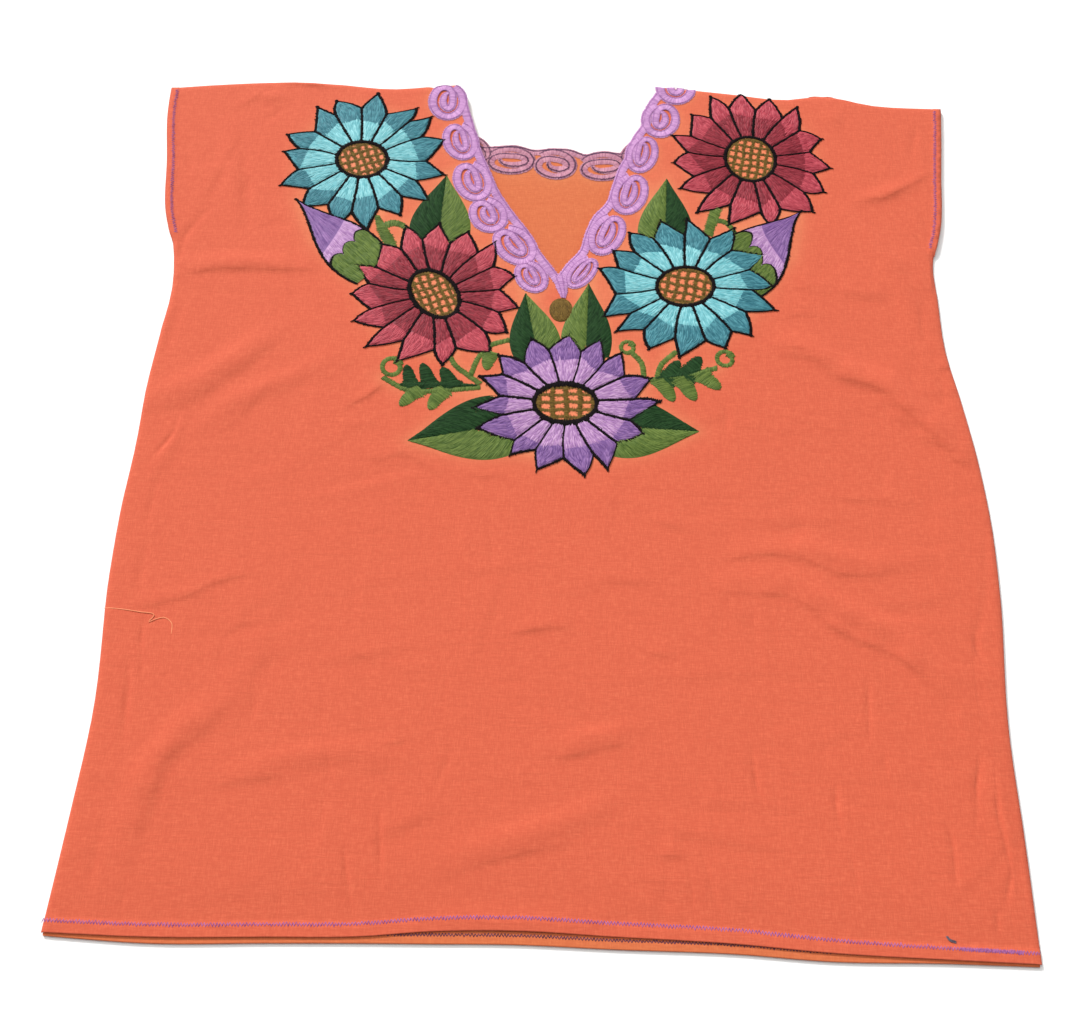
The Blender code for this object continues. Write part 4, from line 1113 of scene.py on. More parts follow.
def fillBud(work, leaf, low, high, rows):
    # rows of stitches along the rib between two lines across it, as many as fit, over a bed
    count, dice = budShape["strands"], work.dice
    w, row = np.tile(np.linspace(-0.96, 0.96, count), rows), np.repeat(np.arange(rows), count)
    start, stop = acrossBud(low, w), acrossBud(high, w)
    first, last = (
        start + (stop - start) * np.clip((row + off + dice.uniform(-0.3, 0.3, w.size)) / rows, 0, 1)
        for off in (-0.1, 1.1))
    kept = dice.random(w.size) < 2 * leaf.spread((first + last) / 2) / (0.5 * count) + 0.05
    along = (first[:, None] + np.array([0, 0.33, 0.67, 1.0]) * (last - first)[:, None])[kept]
    across = np.broadcast_to(w[kept][:, None], along.shape)
    paths = leaf.spot(along, across)
    arch = np.array([-0.14, 0.1, 0.1, -0.14]) + dice.uniform(-0.05, 0.07, (len(paths), 1))
    domed = clothUp(paths) + budShape["low"] + budShape["dome"] * np.sqrt(1 - across**2)
    work.threads(paths, domed + arch, budShape["thread"])
    share, w = np.meshgrid(np.linspace(0, 1, 9), np.linspace(-1, 1, 31), indexing="ij")
    flat = leaf.spot(acrossBud(low, w) * (1 - share) + acrossBud(high, w) * share, w)
    domed = clothUp(flat) + budShape["bedLow"] + budShape["dome"] * np.sqrt(1 - w**2)
    work.bed(flat[None], domed[None])


def makeBud(name, bud):
    # long-and-short bands from the tip to the lobed calyx, all inside one black line
    leaf, covers = budLeaf(bud), [plans[bud["over"]].ring()]
    tip, end = (0.02, 0.0, 0.0), (bud["end"], 0.0, 0.0)
    parts = [("Tip", "violetDeep", "violet_thread", bud["node"], tip, bud["split"], 4),
             ("Band", "violetLight", "violet_thread", bud["node"], bud["split"], bud["lobes"], 2),
             ("Calyx", "greenLight", "leaf_thread", bud["calyx"], bud["lobes"], end, 4)]
    for label, thread, slot, node, low, high, rows in parts:
        work = Needlework(len(name) + len(label) * 31, covers)
        fillBud(work, leaf, low, high, rows)
        work.piece(name + label, thread, slot, [node])
    lines = Needlework(len(name) + 4, covers)
    w = np.linspace(-1, 1, 90)
    paths = [leaf.spot(acrossBud(bud["lobes"], w), w)]
    # both edges, which run on a little past the tip
    t = np.linspace(-0.03, bud["end"], 50)
    past = leaf.way * np.minimum(t, 0)[:, None] * 60
    paths += [leaf.spot(np.clip(t, 0, 2), side) + past for side in (-1, 1)]
    for path in paths:
        lines.crossing(path, budShape["line"], petals["outlinePitch"], petals["outlineLift"],
                       clothUp, ragged=0.22, rim=0.55, blunt=0.6, thick=petals["outlineThread"],
                       heading=budShape["heading"])
    lines.piece(name + "Outline", "black", "outline_thread")


# Sprigs: stems; ribs as points, widths, thread; lobes as root, tip, half width, thread; scrolls as
# place, radius, band width
sprigs = {
    "sprigLeft": {
        "node": "sprig_left",
        "stems": [[(-44, 328.4), (-62, 326.2), (-90, 326), (-104, 334)],
                  [(-66, 356), (-60, 344), (-52, 337), (-44, 331)],
                  [(-50, 337), (-45, 351), (-38, 359), (-27, 363)]],
        "ribs": [([(-46, 329.4), (-60, 329.6), (-75, 329.2), (-93, 329)],
                  (1.6, 4.0, 4.4, 2.6), "greenDeep")],
        "lobes": [((-86, 327.5), (-90, 343.2), 4.0, "greenDeep"),
                  ((-74, 327.5), (-80.2, 344.6), 4.4, "greenDeep"),
                  ((-60.5, 328), (-67.8, 342), 4.5, "greenDeep"),
                  ((-81.5, 327), (-92.4, 314.4), 4.3, "greenLight"),
                  ((-66.5, 327), (-74.4, 312.2), 4.6, "greenLight"),
                  ((-38.5, 354), (-40.8, 341), 4.2, "greenLight")],
        "scrolls": [((-99, 342), 7.5, 3.0)]},
    "sprigRight": {
        "node": "sprig_right",
        "stems": [[(50, 336), (65, 337), (83, 339.5), (102, 346)],
                  [(65, 338), (67, 346), (77, 357)],
                  [(57, 338), (55, 349), (48, 357)]],
        "ribs": [([(64, 337.4), (76, 339.2), (92, 344.6)], (2.6, 4.4, 1.8), "greenDeep")],
        "lobes": [((70, 336), (79, 350.2), 4.6, "greenDeep"),
                  ((82, 339), (92.4, 353.4), 5.0, "greenDeep"),
                  ((91.5, 341.5), (103.5, 331), 4.7, "greenLight"),
                  ((79.5, 338.5), (88, 322.4), 4.8, "greenLight"),
                  ((67, 337), (74.6, 321.4), 4.6, "greenLight")],
        "scrolls": [((107.5, 353), 6.5, 2.8), ((47, 359.5), 5.5, 2.6)]},
    "stemChestLeft": {
        "node": "stem_chest_left", "widths": ([3.0, 6.4, 8.0, 7.0], [5.0, 5.4, 4.4, 3.0]),
        "stems": [[(-116.5, 457), (-113, 448), (-109, 440), (-105, 432)],
                  [(-112, 449), (-105, 451.5), (-100, 450), (-95, 445)]]},
    "stemChestRight": {
        "node": "stem_chest_right", "widths": ([7.5, 7.0, 6.5], [3.6, 3.6, 3.4]),
        "stems": [[(106.5, 471), (103, 460), (99.5, 447)],
                  [(104.5, 459), (110.5, 458), (114.5, 454), (117.5, 446)]]},
}
stemShape = {
    "width": 3.4, "pitch": 0.5, "lift": 0.8, "ribLift": 1.05, "lobeLift": 0.9, "lobePitch": 0.42,
}


def makeSprig(name, sprig):
    # stems, ribs and scrolls are satin lines; a lobe is one as wide as a finger, wider where it
    # leaves its rib
    works = {"greenLight": Needlework(len(name), flowerRings),
             "greenDeep": Needlework(len(name) + 50, flowerRings)}
    light = works["greenLight"]
    for stem, width in zip(sprig["stems"], sprig.get("widths", [stemShape["width"]] * 9)):
        light.crossing(smoothLine(stem, 2.0), width, stemShape["pitch"], stemShape["lift"], clothUp)
    for at, radius, band in sprig.get("scrolls", []):
        turn = np.linspace(0.3, 0.3 + 2 * math.pi * 1.15, 60)
        ring = ovalPoint(at, radius - band / 2, radius - band / 2, 0, turn)
        ring += (np.array(at) - ring) * (fade((turn - 5) / 3) * 0.45)[:, None]
        light.crossing(ring, band, stemShape["pitch"], stemShape["lift"], clothUp)
    for root, tip, half, thread in sprig.get("lobes", []):
        t = np.linspace(0, 0.99, 24)
        rib = np.array(root) + t[:, None] * (np.array(tip) - root)
        wide = 2 * half * np.sqrt(1 - t**3) * (1 + 0.55 * np.exp(-((t / 0.24) ** 2))) + 0.2
        works[thread].crossing(rib, wide, stemShape["lobePitch"], stemShape["lobeLift"], clothUp,
                               slant=0.15, ragged=0.03, blunt=0.9)
    for points, widths, thread in sprig.get("ribs", []):
        works[thread].crossing(smoothLine(points, 2.0), widths, stemShape["pitch"],
                               stemShape["ribLift"], clothUp, slant=0.7)
    for thread, work in works.items():
        if work.count:
            work.piece(name + thread[5:], thread, "leaf_thread", [sprig["node"]])


# Neck braid: loops as place, half long, half wide, lean
braid = {
    "left": [((-75.2, 555.4), 16.6, 13.0, 4), ((-64.8, 520.8), 16.5, 11.8, 17),
             ((-55.2, 487.2), 17.2, 12.6, 20), ((-43.8, 459.6), 14.8, 12.2, 26),
             ((-25.8, 435.6), 17.2, 12.6, 38), ((-14.6, 411.4), 13.0, 9.8, 30)],
    "right": [((81.0, 571.4), 14.5, 13.5, -8), ((70.0, 543.0), 15.8, 12.8, -10),
              ((57.0, 513.0), 16.2, 10.6, -12), ((48.6, 479.4), 17.6, 11.8, -16),
              ((33.6, 446.0), 17.4, 11.4, -22), ((17.8, 415.4), 14.0, 7.8, -34)],
    "back": [((-55.0, 517.0), 13.0, 9.0, 42), ((-31.0, 508.0), 16.5, 11.6, 88),
             ((-1.0, 505.5), 14.5, 12.4, 78), ((31.0, 504.5), 16.5, 12.0, 95),
             ((54.0, 516.0), 13.0, 9.0, -42)],
    "tipLine": [(3.2, 412.0), (4.4, 407.0), (5.4, 402.0), (6.0, 398.5), (6.2, 395.6)],
    "rails": (  # along the opening, then round the back
        [(-66, 562), (-63, 548), (-58.5, 532), (-55.5, 519), (-51, 506), (-45.5, 492), (-41, 480),
         (-34.5, 468), (-26.8, 456), (-18, 443), (-11.8, 430), (-4.5, 419), (2.8, 408)],
        [(70, 566), (62.5, 552), (60, 538), (52.8, 524), (48.8, 510), (44, 499), (40, 485),
         (35.8, 470), (27, 458), (22.2, 445), (19, 432), (10, 419.5), (3.2, 408)],
        [(-62, 526), (-50, 517), (-40, 517.5), (-28, 518.5), (-15, 515), (-3, 516.5), (9, 516),
         (19, 512), (31, 515), (45, 514), (52, 517), (62, 526)]),
    "tipWidths": (7.4, 8.4, 7.6, 6.0, 3.0), "tipLift": 0.1,
    "turns": 1.95, "pitch": 0.5, "lift": 0.8, "backLift": 0.7, "loopLift": 0.06,
    "margin": 0.1, "fringe": 0.55, "grow": 0.7,
    # outer and inner turn and the slit between them as shares of a loop, how far the inner turn
    # moves aside, the rail's width, the lines' width, how far they run inside an edge, the edges
    # they follow
    "frontCut": {"band": 0.475, "inner": 0.41, "slit": 0.07, "aside": 0.0, "rail": 6.0,
                 "line": 0.7, "hemmed": 1.2, "edges": (-1, 1)},
    "backCut": {"band": 0.41, "inner": 0.43, "slit": 0.05, "aside": 2.0, "rail": 5.0,
                "line": 1.4, "hemmed": 1.5, "edges": (1,)},
}


def scroll(loop, hand, start, cut):
    # one loop's band: an outer turn along the ellipse that steps inwards and curls into its middle
    at, long, wide, lean = loop
    long, wide = long + braid["grow"], wide + braid["grow"]
    turn = np.linspace(0, braid["turns"], 130)
    outer, inner, slit = (cut[key] * wide for key in ("band", "inner", "slit"))
    step = fade((turn - 0.8) / 0.36)
    width = outer + (inner - outer) * step
    width *= 1 - 0.45 * fade((turn - braid["turns"] + 0.2) / 0.2)
    inward = outer / 2 + ((outer + inner) / 2 + slit) * step
    angle = math.radians(start) + hand * 2 * math.pi * turn
    side, rise = (wide - inward) * np.cos(angle), (long - inward) * np.sin(angle)
    return leaned(at, side, rise - cut["aside"] * step, lean), width


def lineBeside(lines, path, off, surface, lift, width):
    # a thin stitched line that runs beside a band's middle: a zigzag where it is wide
    line = path + leftOf(np.gradient(path, axis=0)) * np.reshape(off, (-1, 1))
    if width > 1:
        zigzag(lines, line, lambda p: surface(p) + lift * 0.75, width / 2, 0.55)
    else:
        lines.crossing(line, width, 0.8, lift * 0.75 + 0.3, surface, slant=0.8, ragged=0.25,
                       thick=0.42, rim=0.85)


def makeBraid(chains, surface, lift, cut):
    # every loop is a satin scroll, and a rail joins them along the opening; a thin line runs inside
    # each edge
    band, lines = Needlework(61), Needlework(62)
    for loops, hand, start, rail in chains:
        path = smoothLine(rail, 1.0)
        band.crossing(path, cut["rail"], braid["pitch"], lift, surface, slant=0.12, ragged=0.05,
                      rim=0.5)
        off = -hand * (cut["rail"] / 2 - cut["hemmed"])
        lineBeside(lines, path, off, surface, lift, cut["line"])
        for loop in loops:
            path, width = scroll(loop, hand, start, cut)
            band.crossing(path, width, braid["pitch"], lift + braid["loopLift"], surface,
                          slant=0.12, ragged=0.05, rim=0.5)
            for edge in cut["edges"]:
                inset = cut["hemmed"] if edge > 0 else braid["fringe"]
                off = -edge * hand * (width / 2 - inset)
                lineBeside(lines, path, off, surface, lift, cut["line"])
    return band, lines


def ringsOf(loops, by, count=44):
    # the loops' outlines, grown by a few tenths or shrunk
    return [oval(at, long + by, wide + by, lean, count) for at, long, wide, lean in loops]


def strip(line, width):
    # ring round a polyline: its points moved half the width to each side
    line = np.array(line, float)
    side = leftOf(np.gradient(line, axis=0)) * width / 2
    return np.concatenate([line - side, (line + side)[::-1]])


def ringTurn(ring):
    # every ring runs anticlockwise: twice its signed area is the sum of x y' - y x'
    x, y = np.asarray(ring, float).T
    area = (x * np.roll(y, -1) - y * np.roll(x, -1)).sum()
    return np.asarray(ring if area > 0 else ring[::-1], float)


def cutCloth(shapes, cuts, lines, loose):
    # cloth cut from the flat: triangles that lie in any of the shapes and in none of the cuts
    rings = [ringTurn(ring) for ring in [*shapes, *cuts]]
    ends = np.cumsum([0] + [len(part) for part in [*rings, *lines]])
    faces = [list(range(a, b)) for a, b in zip(ends[:len(rings)], ends[1:])]
    edges = [(i, i + 1) for a, b in zip(ends[len(rings):-1], ends[len(rings) + 1:])
             for i in range(a, b - 1)]
    flat = [Vector(p) for p in np.concatenate([*rings, *lines, loose]).tolist()]
    found, _, triangles, _, _, owners = delaunay_2d_cdt(flat, edges, faces, 0, 1e-3)
    kept = [t for t, owner in zip(triangles, owners) if owner and max(owner) < len(shapes)]
    used, order = np.unique(np.array(kept), return_inverse=True)
    return np.array(found, float)[used], order.reshape(-1, 3)


def panelRing(seamInset, armholeInset, column, neck):
    # hem, right side, right shoulder, the neck's points, left shoulder, left side
    across = np.linspace(-252, 252, 150)
    ring = list(np.stack([across, hemUp(across, column)], axis=1))
    for side, end in ((1, neck[0]), (-1, neck[-1])):
        low = hemUp(side * 259.0, column)
        high = shoulderUp(sideAcross(560.0, side)) - seamInset
        edge = sideLine(side, low, high, 0, 170)
        sewn = sewnShare(edge[:, 1])
        edge[:, 0] -= side * (seamInset * sewn + armholeInset * (1 - sewn))
        shoulder = shoulderLine(edge[-1, 0], end[0], seamInset, 56)[1:-1]
        ring += [*edge, *shoulder, *neck] if side > 0 else [*shoulder[::-1], *edge[::-1]]
    return np.array(ring)


def guideLines(column):
    # rows along the step of each hem and along the rolled edges, so that the mesh follows them
    lines, across = [], np.linspace(-262, 262, 240)
    step = blouse["hemStep"]
    for off in (-blouse["hemDepth"] + 0.6, -step / 2, step / 2, 2.2):
        lines.append(np.stack([across, hemUp(across, column) + blouse["hemDepth"] + off], axis=1))
        if abs(off) < 1:
            lines += [sideLine(s, 436, 576, blouse["armholeHem"] + off, 66) for s in (-1, 1)]
    if column == 1:
        for share in (0.08, 0.25, 0.5, 1.0):
            inset = blouse["wall"] + share * blouse["roll"]
            low = blouse["armholeStart"] + blouse["seamFade"]
            lines += [sideLine(s, -20, low, inset, 170) for s in (-1, 1)]
            lines += [shoulderLine(a, b, inset, 70) for a, b in ((-275, -62), (62, 275))]
        inPinch = np.linspace(-1, 1, 5) * creaseShape["pinchHalf"]
        for rows, shares in ((steps, (-0.36, 0.0, 0.36)), (pinches, inPinch)):
            for _, wide, corners in rows:
                line, _ = creaseLine(corners)
                side = leftOf(np.gradient(line, axis=0))
                lines += [line + side * share * wide for share in shares]
    return lines


def looseGrid(lines, step):
    # staggered points all over the panel, left out next to the guide lines
    across, ups = np.arange(-268, 268, step), np.arange(-8, 578, step * math.sqrt(0.75))
    grid = np.stack(np.meshgrid(across, ups), axis=-1)
    grid[1::2, :, 0] += step / 2
    grid = grid.reshape(-1, 2)
    clear = np.ones(len(grid), bool)
    for line in lines:
        near = np.flatnonzero(inBox(grid, line, step) & clear)
        clear[near] = nearLine(grid[near], line)[0] > 0.45 * step
    return grid[clear]


def overNeck(inset):
    # what is cut away over the shoulder line between the neck's ends
    left, right = blouse["neckEnds"][0] - 9, blouse["neckEnds"][1] + 9
    return np.concatenate([shoulderLine(left, right, inset, 60), [(right, 620), (left, 620)]])


drawnIn = {
    "share": 0.46, "power": 1.6, "reach": 6.5, "petal": 0.82, "rail": 3, "stem": 2, "leaf": 0.85,
}


def besideLeaf(points, tip, root, half):
    # distance to a leaf that widens from its tip to its full half width at its middle
    apart, along = nearLine(points, [tip, root])
    return apart - drawnIn["leaf"] * half * np.clip(2 * along, 0, 1) ** 0.75


def besideStitches(points, loops, rails, motifs):
    # how much the stitching draws the cloth: a power of the summed pulls of the braid and of every
    # motif, each of which dies away exponentially
    aparts = [np.min([nearLine(points, ring)[0] for ring in ringsOf(loops, 0)]
                     + [nearLine(points, rail)[0] - drawnIn["rail"] for rail in rails], axis=0)]
    if motifs:
        for flower in flowers.values():
            reach = np.hypot(*((points - flower["at"]) / flower["radius"]).T)
            aparts.append((reach - drawnIn["petal"]) * min(flower["radius"]))
        aparts += [besideLeaf(points, *leaf[1:4]) for leaf in leaves.values()]
        aparts += [besideLeaf(points, bud["tip"], bud["root"], bud["half"])
                   for bud in buds.values()]
        aparts += [np.min([nearLine(points, stem)[0] for stem in sprig["stems"]], axis=0)
                   - drawnIn["stem"] for sprig in sprigs.values()]
    pull = sum(np.exp(-np.clip(apart, 0, None) / drawnIn["reach"]) for apart in aparts)
    return np.clip(drawnIn["share"] * pull ** drawnIn["power"], 0, 1)


def clothPiece(name, flat, triangles, height, finish, node, beside):
    # a sheet at its height, with the single cotton's thickness below it
    piece = meshPiece(name, np.column_stack([flat, height]), triangles, beside, "beside")
    wall = piece.modifiers.new("wall", "SOLIDIFY")
    wall.thickness, wall.offset = blouse["cloth"] * 0.001, -1.0
    settle(piece, finish, [node])
    print(name, len(triangles) * 2, "triangles")
    return piece


def upFacing(flat, triangles):
    # triangles whose corners run clockwise are turned over
    a, b, c = (flat[triangles[:, k]] for k in range(3))
    turned = np.cross(b - a, c - a) < 0
    triangles[turned] = triangles[turned][:, ::-1]
    return triangles


def makeCloth():
    # the front with its deep neck cut out, then the back, tucked in all round with its shallow neck
    left, right, back = braid["rails"]
    a, b = ((x, shoulderUp(x) - blouse["wall"]) for x in blouse["neckEnds"])
    outline = panelRing(blouse["wall"], 0.0, 1, [b, *right, *left[-2::-1], a])
    shapes = [outline, *ringsOf(braid["left"] + braid["right"], -braid["margin"])]
    wide = braid["frontCut"]["rail"] - 0.5
    shapes += [strip(smoothLine(line, 2.0), wide) for line in (left, right)]
    lines = guideLines(1)
    loose = looseGrid([*lines, outline], blouse["grain"])
    flat, triangles = cutCloth(shapes, [overNeck(blouse["wall"])], lines, loose)
    triangles = upFacing(flat, triangles)
    height = frontTop(flat) + hemRise(flat, 1)
    clothPiece("frontCloth", flat, triangles, height, cotton, "front_panel",
               besideStitches(flat, braid["left"] + braid["right"], [left, right], True))
    ends = [(x, shoulderUp(x) - blouse["wall"] - blouse["tuck"]) for x in blouse["backNeck"]]
    neck = [ends[1], (66, 545), *back[::-1], (-68, 545), ends[0]]
    outline = panelRing(blouse["wall"] + blouse["tuck"], blouse["tuck"], 2, neck)
    shapes = [outline, *ringsOf(braid["back"], -braid["margin"])]
    shapes += [strip(smoothLine(back, 2.0), braid["backCut"]["rail"] - 0.5)]
    lines = guideLines(2)
    loose = looseGrid([*lines, outline], blouse["grain"] * 1.15)
    flat, triangles = cutCloth(shapes, [], lines, loose)
    triangles = upFacing(flat, triangles)
    height = backHemUp(flat)
    clothPiece("backCloth", flat, triangles, height, cottonInside, "back_panel",
               besideStitches(flat, braid["back"], [back], False))


# Machine stitches: zigzags along the hems and the armholes
sewing = {
    "hemIn": ((-257, 110, 257), (6.2, 7.0, 5.4)), "armholeIn": 4.4, "backHemIn": 4.7,
    "zig": 1.15, "step": 0.85, "thread": 0.5,
    "sewnTwice": (216, 249), "twiceZig": 0.8, "twiceStep": 0.6, "backZig": 0.9, "looseLift": 0.4,
    "stray": [(-252.5, 177.8), (-244, 177.2), (-232, 175.6), (-223, 173.6), (-225.5, 169.6),
              (-222, 171.2), (-217, 172.4), (-212.6, 169.4), (-211.8, 162.5)],
    "seamShows": ((1, 4, 31), (1, 45, 84)),  # side, from, to
    "seamIn": 2.2, "seamPitch": 1.5, "seamDash": 0.42,
}


def zigzag(work, line, surface, zig=None, step=None):
    # a thread that crosses its line back and forth, one stitch a step
    zig, step = zig or sewing["zig"], step or sewing["step"]
    path = spaced(line, step)
    side = leftOf(np.gradient(path, axis=0))
    wide = zig + work.dice.normal(0, 0.12, len(path))
    swing = np.where(np.arange(len(path)) % 2, 1.0, -1.0) * wide
    corners = path + side * swing[:, None] + work.dice.normal(0, 0.1, path.shape)
    t = np.array([0, 0.5, 1.0])[:, None]
    paths = corners[:-1, None] + t * (corners[1:] - corners[:-1])[:, None]
    work.threads(paths, surface(paths) + np.array([0.12, 0.3, 0.12]), sewing["thread"])


def hemRise(points, column):
    # how much the turned hems and their puckers add, half of the puckers on the back
    flat = points.reshape(-1, 2)
    waves = pucker(flat, column) * (1.0 if column == 1 else 0.5)
    return (blouse["hemExtra"] * hemShare(flat, column) + waves).reshape(points.shape[:-1])


def frontHemUp(points):
    return clothUp(points) + hemRise(points, 1)


def backHemUp(points):
    return backUp(points) + hemRise(points, 2)


def looseEnd(work, points, width, lift):
    # one long thread that lies on the front, a little clear of it between its ends
    path = smoothLine(points, 0.8)
    bow = lift * np.sin(math.pi * np.linspace(0, 1, len(path))) + 0.15
    work.threads(path[None], (frontHemUp(path) + bow)[None], width)


def makeSewing():
    # zigzags along both hems and the armholes, two thread ends, and the seams' dashes
    work = Needlework(71)
    across = np.linspace(-257.5, 257.5, 200)
    inset = np.interp(across, *sewing["hemIn"])
    zigzag(work, np.stack([across, hemUp(across, 1) + inset], axis=1), frontHemUp)
    # the last stretch is sewn over once more, and the thread's end stands out where that starts
    again = np.linspace(*sewing["sewnTwice"], 40)
    for shift in (0.35, -0.4):
        ups = hemUp(again, 1) + np.interp(again, *sewing["hemIn"]) + shift
        line = np.stack([again, ups], axis=1)
        zigzag(work, line, frontHemUp, sewing["twiceZig"], sewing["twiceStep"])
    for side in (-1, 1):
        low, high = 441, shoulderUp(side * 262) - 4
        zigzag(work, sideLine(side, low, high, sewing["armholeIn"], 60), frontHemUp)
    work.piece("hemStitches", "hem", "hem_thread")
    work = Needlework(72)
    inner = np.linspace(-255, 255, 200)
    line = np.stack([inner, hemUp(inner, 2) + sewing["backHemIn"]], axis=1)
    zigzag(work, line, backHemUp, sewing["backZig"])
    work.piece("backHemStitches", "dusk", "hem_thread")
    work = Needlework(73)
    for off in (-0.5, 0.0, 0.5):
        end = [(210.0 + off, 6.6), (211.0, 4.9 + off), (214.8, 3.4 + off)]
        looseEnd(work, end, 0.5, sewing["looseLift"])
    work.piece("hemThreadEnd", "slate", "hem_thread")
    work = Needlework(74)
    looseEnd(work, sewing["stray"], 0.55, sewing["looseLift"])
    work.piece("strayThread", "coral", "cotton")
    # machine stitches of the side seams show as short dashes where the seams roll to the front
    work = Needlework(75)
    for side, low, high in sewing["seamShows"]:
        ups, dash = np.arange(low, high, sewing["seamPitch"]), sewing["seamDash"]
        seam = np.stack([sideAcross(ups, side) - side * sewing["seamIn"], ups], axis=1)
        spots = seam + work.dice.normal(0, 0.08, (len(ups), 2))
        paths = spots[:, None] + np.array([[0, -dash], [0, 0], [0, dash]])
        work.threads(paths, frontHemUp(paths) + 0.14, dash)
    work.piece("seamStitches", "seam", "hem_thread")


def addFront():
    # the braid of the deep neck
    chains = [(braid["left"], -1, 62, braid["rails"][0]),
              (braid["right"], 1, 118, braid["rails"][1])]
    band, lines = makeBraid(chains, clothUp, braid["lift"], braid["frontCut"])
    # both chains run out into one narrowing tip
    tip, lift = smoothLine(braid["tipLine"], 1.0), braid["lift"] + braid["tipLift"]
    band.crossing(tip, braid["tipWidths"], braid["pitch"], lift, clothUp, slant=0.2, ragged=0.05,
                  rim=0.5)
    for way in (-1, 1):
        off = way * np.linspace(1.9, 0.7, len(tip))
        lineBeside(lines, tip, off, clothUp, lift, braid["frontCut"]["line"])
    band.piece("neckBraid", "lavender", "braid_thread", ["front_neck_braid"])
    lines.piece("neckBraidLines", "plum", "braid_thread")


def addBack():
    # the braid of the back neck, seen from its wrong side
    chain = (braid["back"], -1, 62, braid["rails"][2])
    band, lines = makeBraid([chain], backUp, braid["backLift"], braid["backCut"])
    band.piece("backBraid", "back", "braid_thread", ["back_neck_braid"])
    lines.piece("backBraidLines", "dusk", "braid_thread")


ball = {
    "at": (4.9, 386.2), "half": (7.2, 8.6), "pitch": 0.4, "stitch": 2.6, "thread": 0.5,
    "height": 0.75, "low": 0.25, "bedLow": 0.16,
}


def makeBall():
    # the round knot under the neck: short upright stitches, each a little turned, on a padded oval
    work = Needlework(81)
    (x0, y0), (wide, tall) = ball["at"], ball["half"]
    across, up = np.meshgrid(np.arange(-wide, wide, ball["pitch"]),
                             np.arange(-tall - 1, tall + 1, ball["stitch"] * 0.6))
    up = up + work.dice.uniform(-0.7, 0.7, up.shape)
    across, up = across.ravel(), up.ravel()
    t = np.array([-0.5, -0.2, 0.2, 0.5])
    turn = work.dice.normal(0.0, 0.3, (len(up), 1))
    paths = np.stack([across[:, None] + turn * t * ball["stitch"],
                      up[:, None] + t * ball["stitch"]], axis=-1)
    away = np.hypot(paths[..., 0] / wide, paths[..., 1] / tall)
    paths = np.where((away > 1)[..., None], paths / np.maximum(away, 1)[..., None], paths)
    kept = (away < 1).any(1)
    dome = ball["height"] * np.sqrt(np.clip(1 - away**2, 0, 1))[kept]
    dome = dome + work.dice.uniform(0, 0.12, (kept.sum(), 1))
    flat = paths[kept] + (x0, y0)
    high = clothUp(flat) + ball["low"] + dome + np.array([-0.1, 0.06, 0.06, -0.1])
    work.threads(flat, high, ball["thread"])
    share, around = polarGrid(0.02, 1.0, 7, 37)
    rim = np.stack([wide * np.cos(around), tall * np.sin(around)], axis=-1)
    flat = np.array([x0, y0]) + share[..., None] * rim
    high = clothUp(flat) + ball["bedLow"] + ball["height"] * np.sqrt(np.clip(1 - share**2, 0, 1))
    work.bed(flat[None, :, ::-1], high[None, :, ::-1])
    work.piece("neckBall", "seed", "seed_thread", ["neck_ball"])


plans = {name: Flower(flower) for name, flower in flowers.items()}
flowerRings = [plan.ring() for plan in plans.values()]
fillHeights()
print("heights ready")
makeCloth()
print("cloth cut")
for name, flower in flowers.items():
    makeFlower(name, flower)
for name, row in leaves.items():
    makeLeaf(name, row)
for name, bud in buds.items():
    makeBud(name, bud)
for name, sprig in sprigs.items():
    makeSprig(name, sprig)
makeBall()
addFront()
addBack()
makeSewing()
print("needlework done")

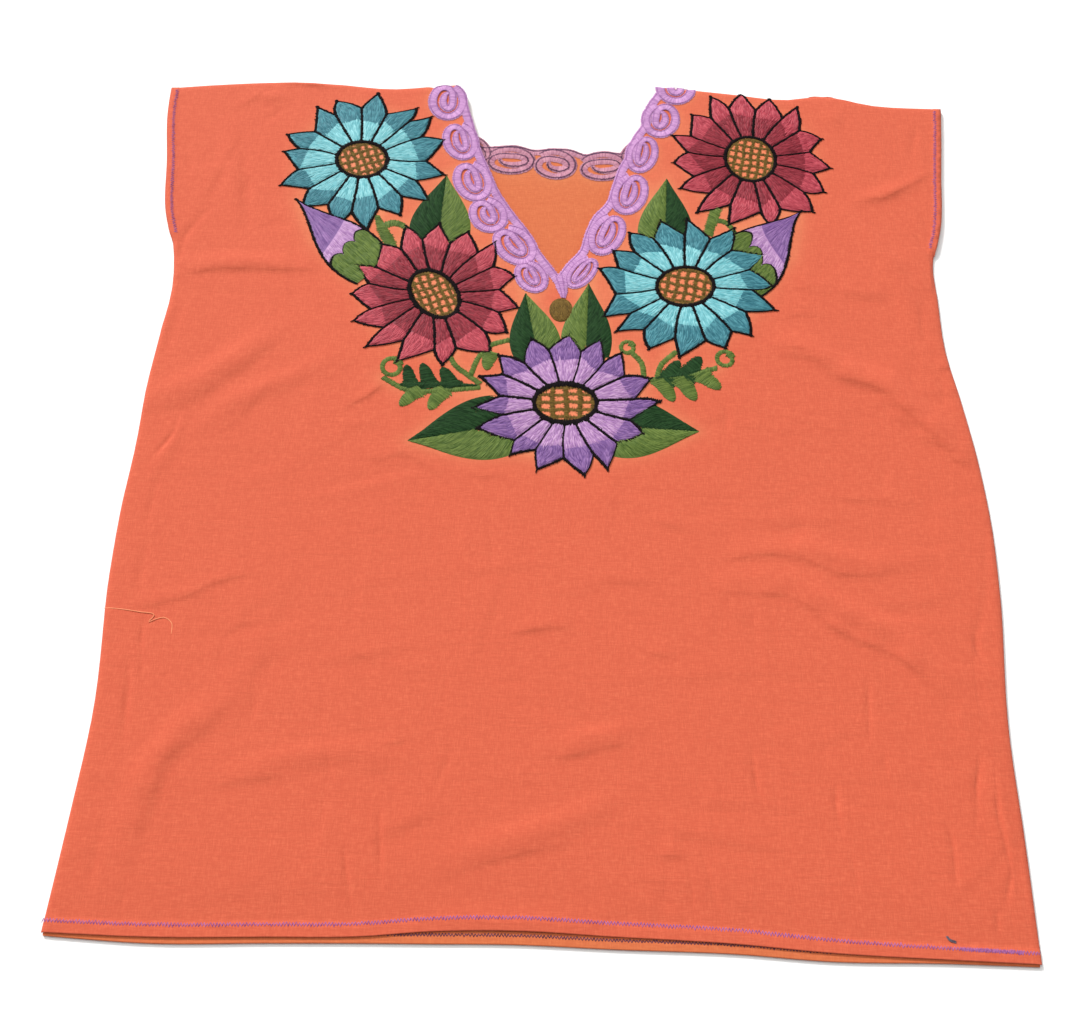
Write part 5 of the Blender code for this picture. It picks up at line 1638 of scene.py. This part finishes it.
# The floor, the light and the camera: lamps as name, place, size, power, kind; angles in radians
stage = {
    "floor": 3.0, "white": (0.86, 0.86, 0.85, 1.0), "sky": 0.42,
    "lamps": (("keyFromNeck", (-1.5, 2.5, 1.85), 0.24, 4.05, "SUN"),
              ("overhead", (-0.4, 0.7, 3.0), 2.2, 40, "AREA")),
    "camera": (-0.9, -126.8, 759.4), "lens": 47.8, "film": 36.0,
    "tilt": 0.45425, "roll": 0.0099235, "yaw": 0.01388,
}


def makeStage():
    half = stage["floor"] / 2
    mesh = bpy.data.meshes.new("floor")
    mesh.from_pydata([(-half, -half, 0), (half, -half, 0), (half, half, 0), (-half, half, 0)], [],
                     [(0, 1, 2, 3)])
    floor = bpy.data.objects.new("floor", mesh)
    bpy.context.scene.collection.objects.link(floor)
    floor.data.materials.append(Recipe("paleFloor", Roughness=0.9).done(stage["white"]))


def addLight(name, place, size, power, kind):
    # a lamp that faces the origin
    lamp = bpy.data.lights.new(name, kind)
    lamp.energy = power
    if kind == "AREA":
        lamp.shape, lamp.size = "DISK", size
    else:
        lamp.angle = size
    holder = bpy.data.objects.new(name, lamp)
    holder.location = place
    holder.rotation_euler = (-Vector(place)).to_track_quat("-Z", "Y").to_euler()
    bpy.context.scene.collection.objects.link(holder)


makeStage()
for lamp in stage["lamps"]:
    addLight(*lamp)
world = bpy.data.worlds.new("studio")
world.use_nodes = True
sky = world.node_tree.nodes["Background"]
sky.inputs[0].default_value = (1.0, 1.0, 1.0, 1.0)
sky.inputs[1].default_value = stage["sky"]
bpy.context.scene.world = world
bpy.context.scene.view_settings.view_transform = "Standard"

lens = bpy.data.cameras.new("camera")
lens.lens, lens.sensor_width, lens.sensor_fit = stage["lens"], stage["film"], "HORIZONTAL"
camera = bpy.data.objects.new("camera", lens)
middle = (*blouse["middle"], 0.0)
camera.matrix_world = (
    Matrix.Translation([(place - origin) * 0.001 for place, origin in zip(stage["camera"], middle)])
    @ Matrix.Rotation(stage["yaw"], 4, "Z") @ Matrix.Rotation(stage["tilt"], 4, "X")
    @ Matrix.Rotation(stage["roll"], 4, "Z"))
bpy.context.scene.collection.objects.link(camera)
bpy.context.scene.camera = camera
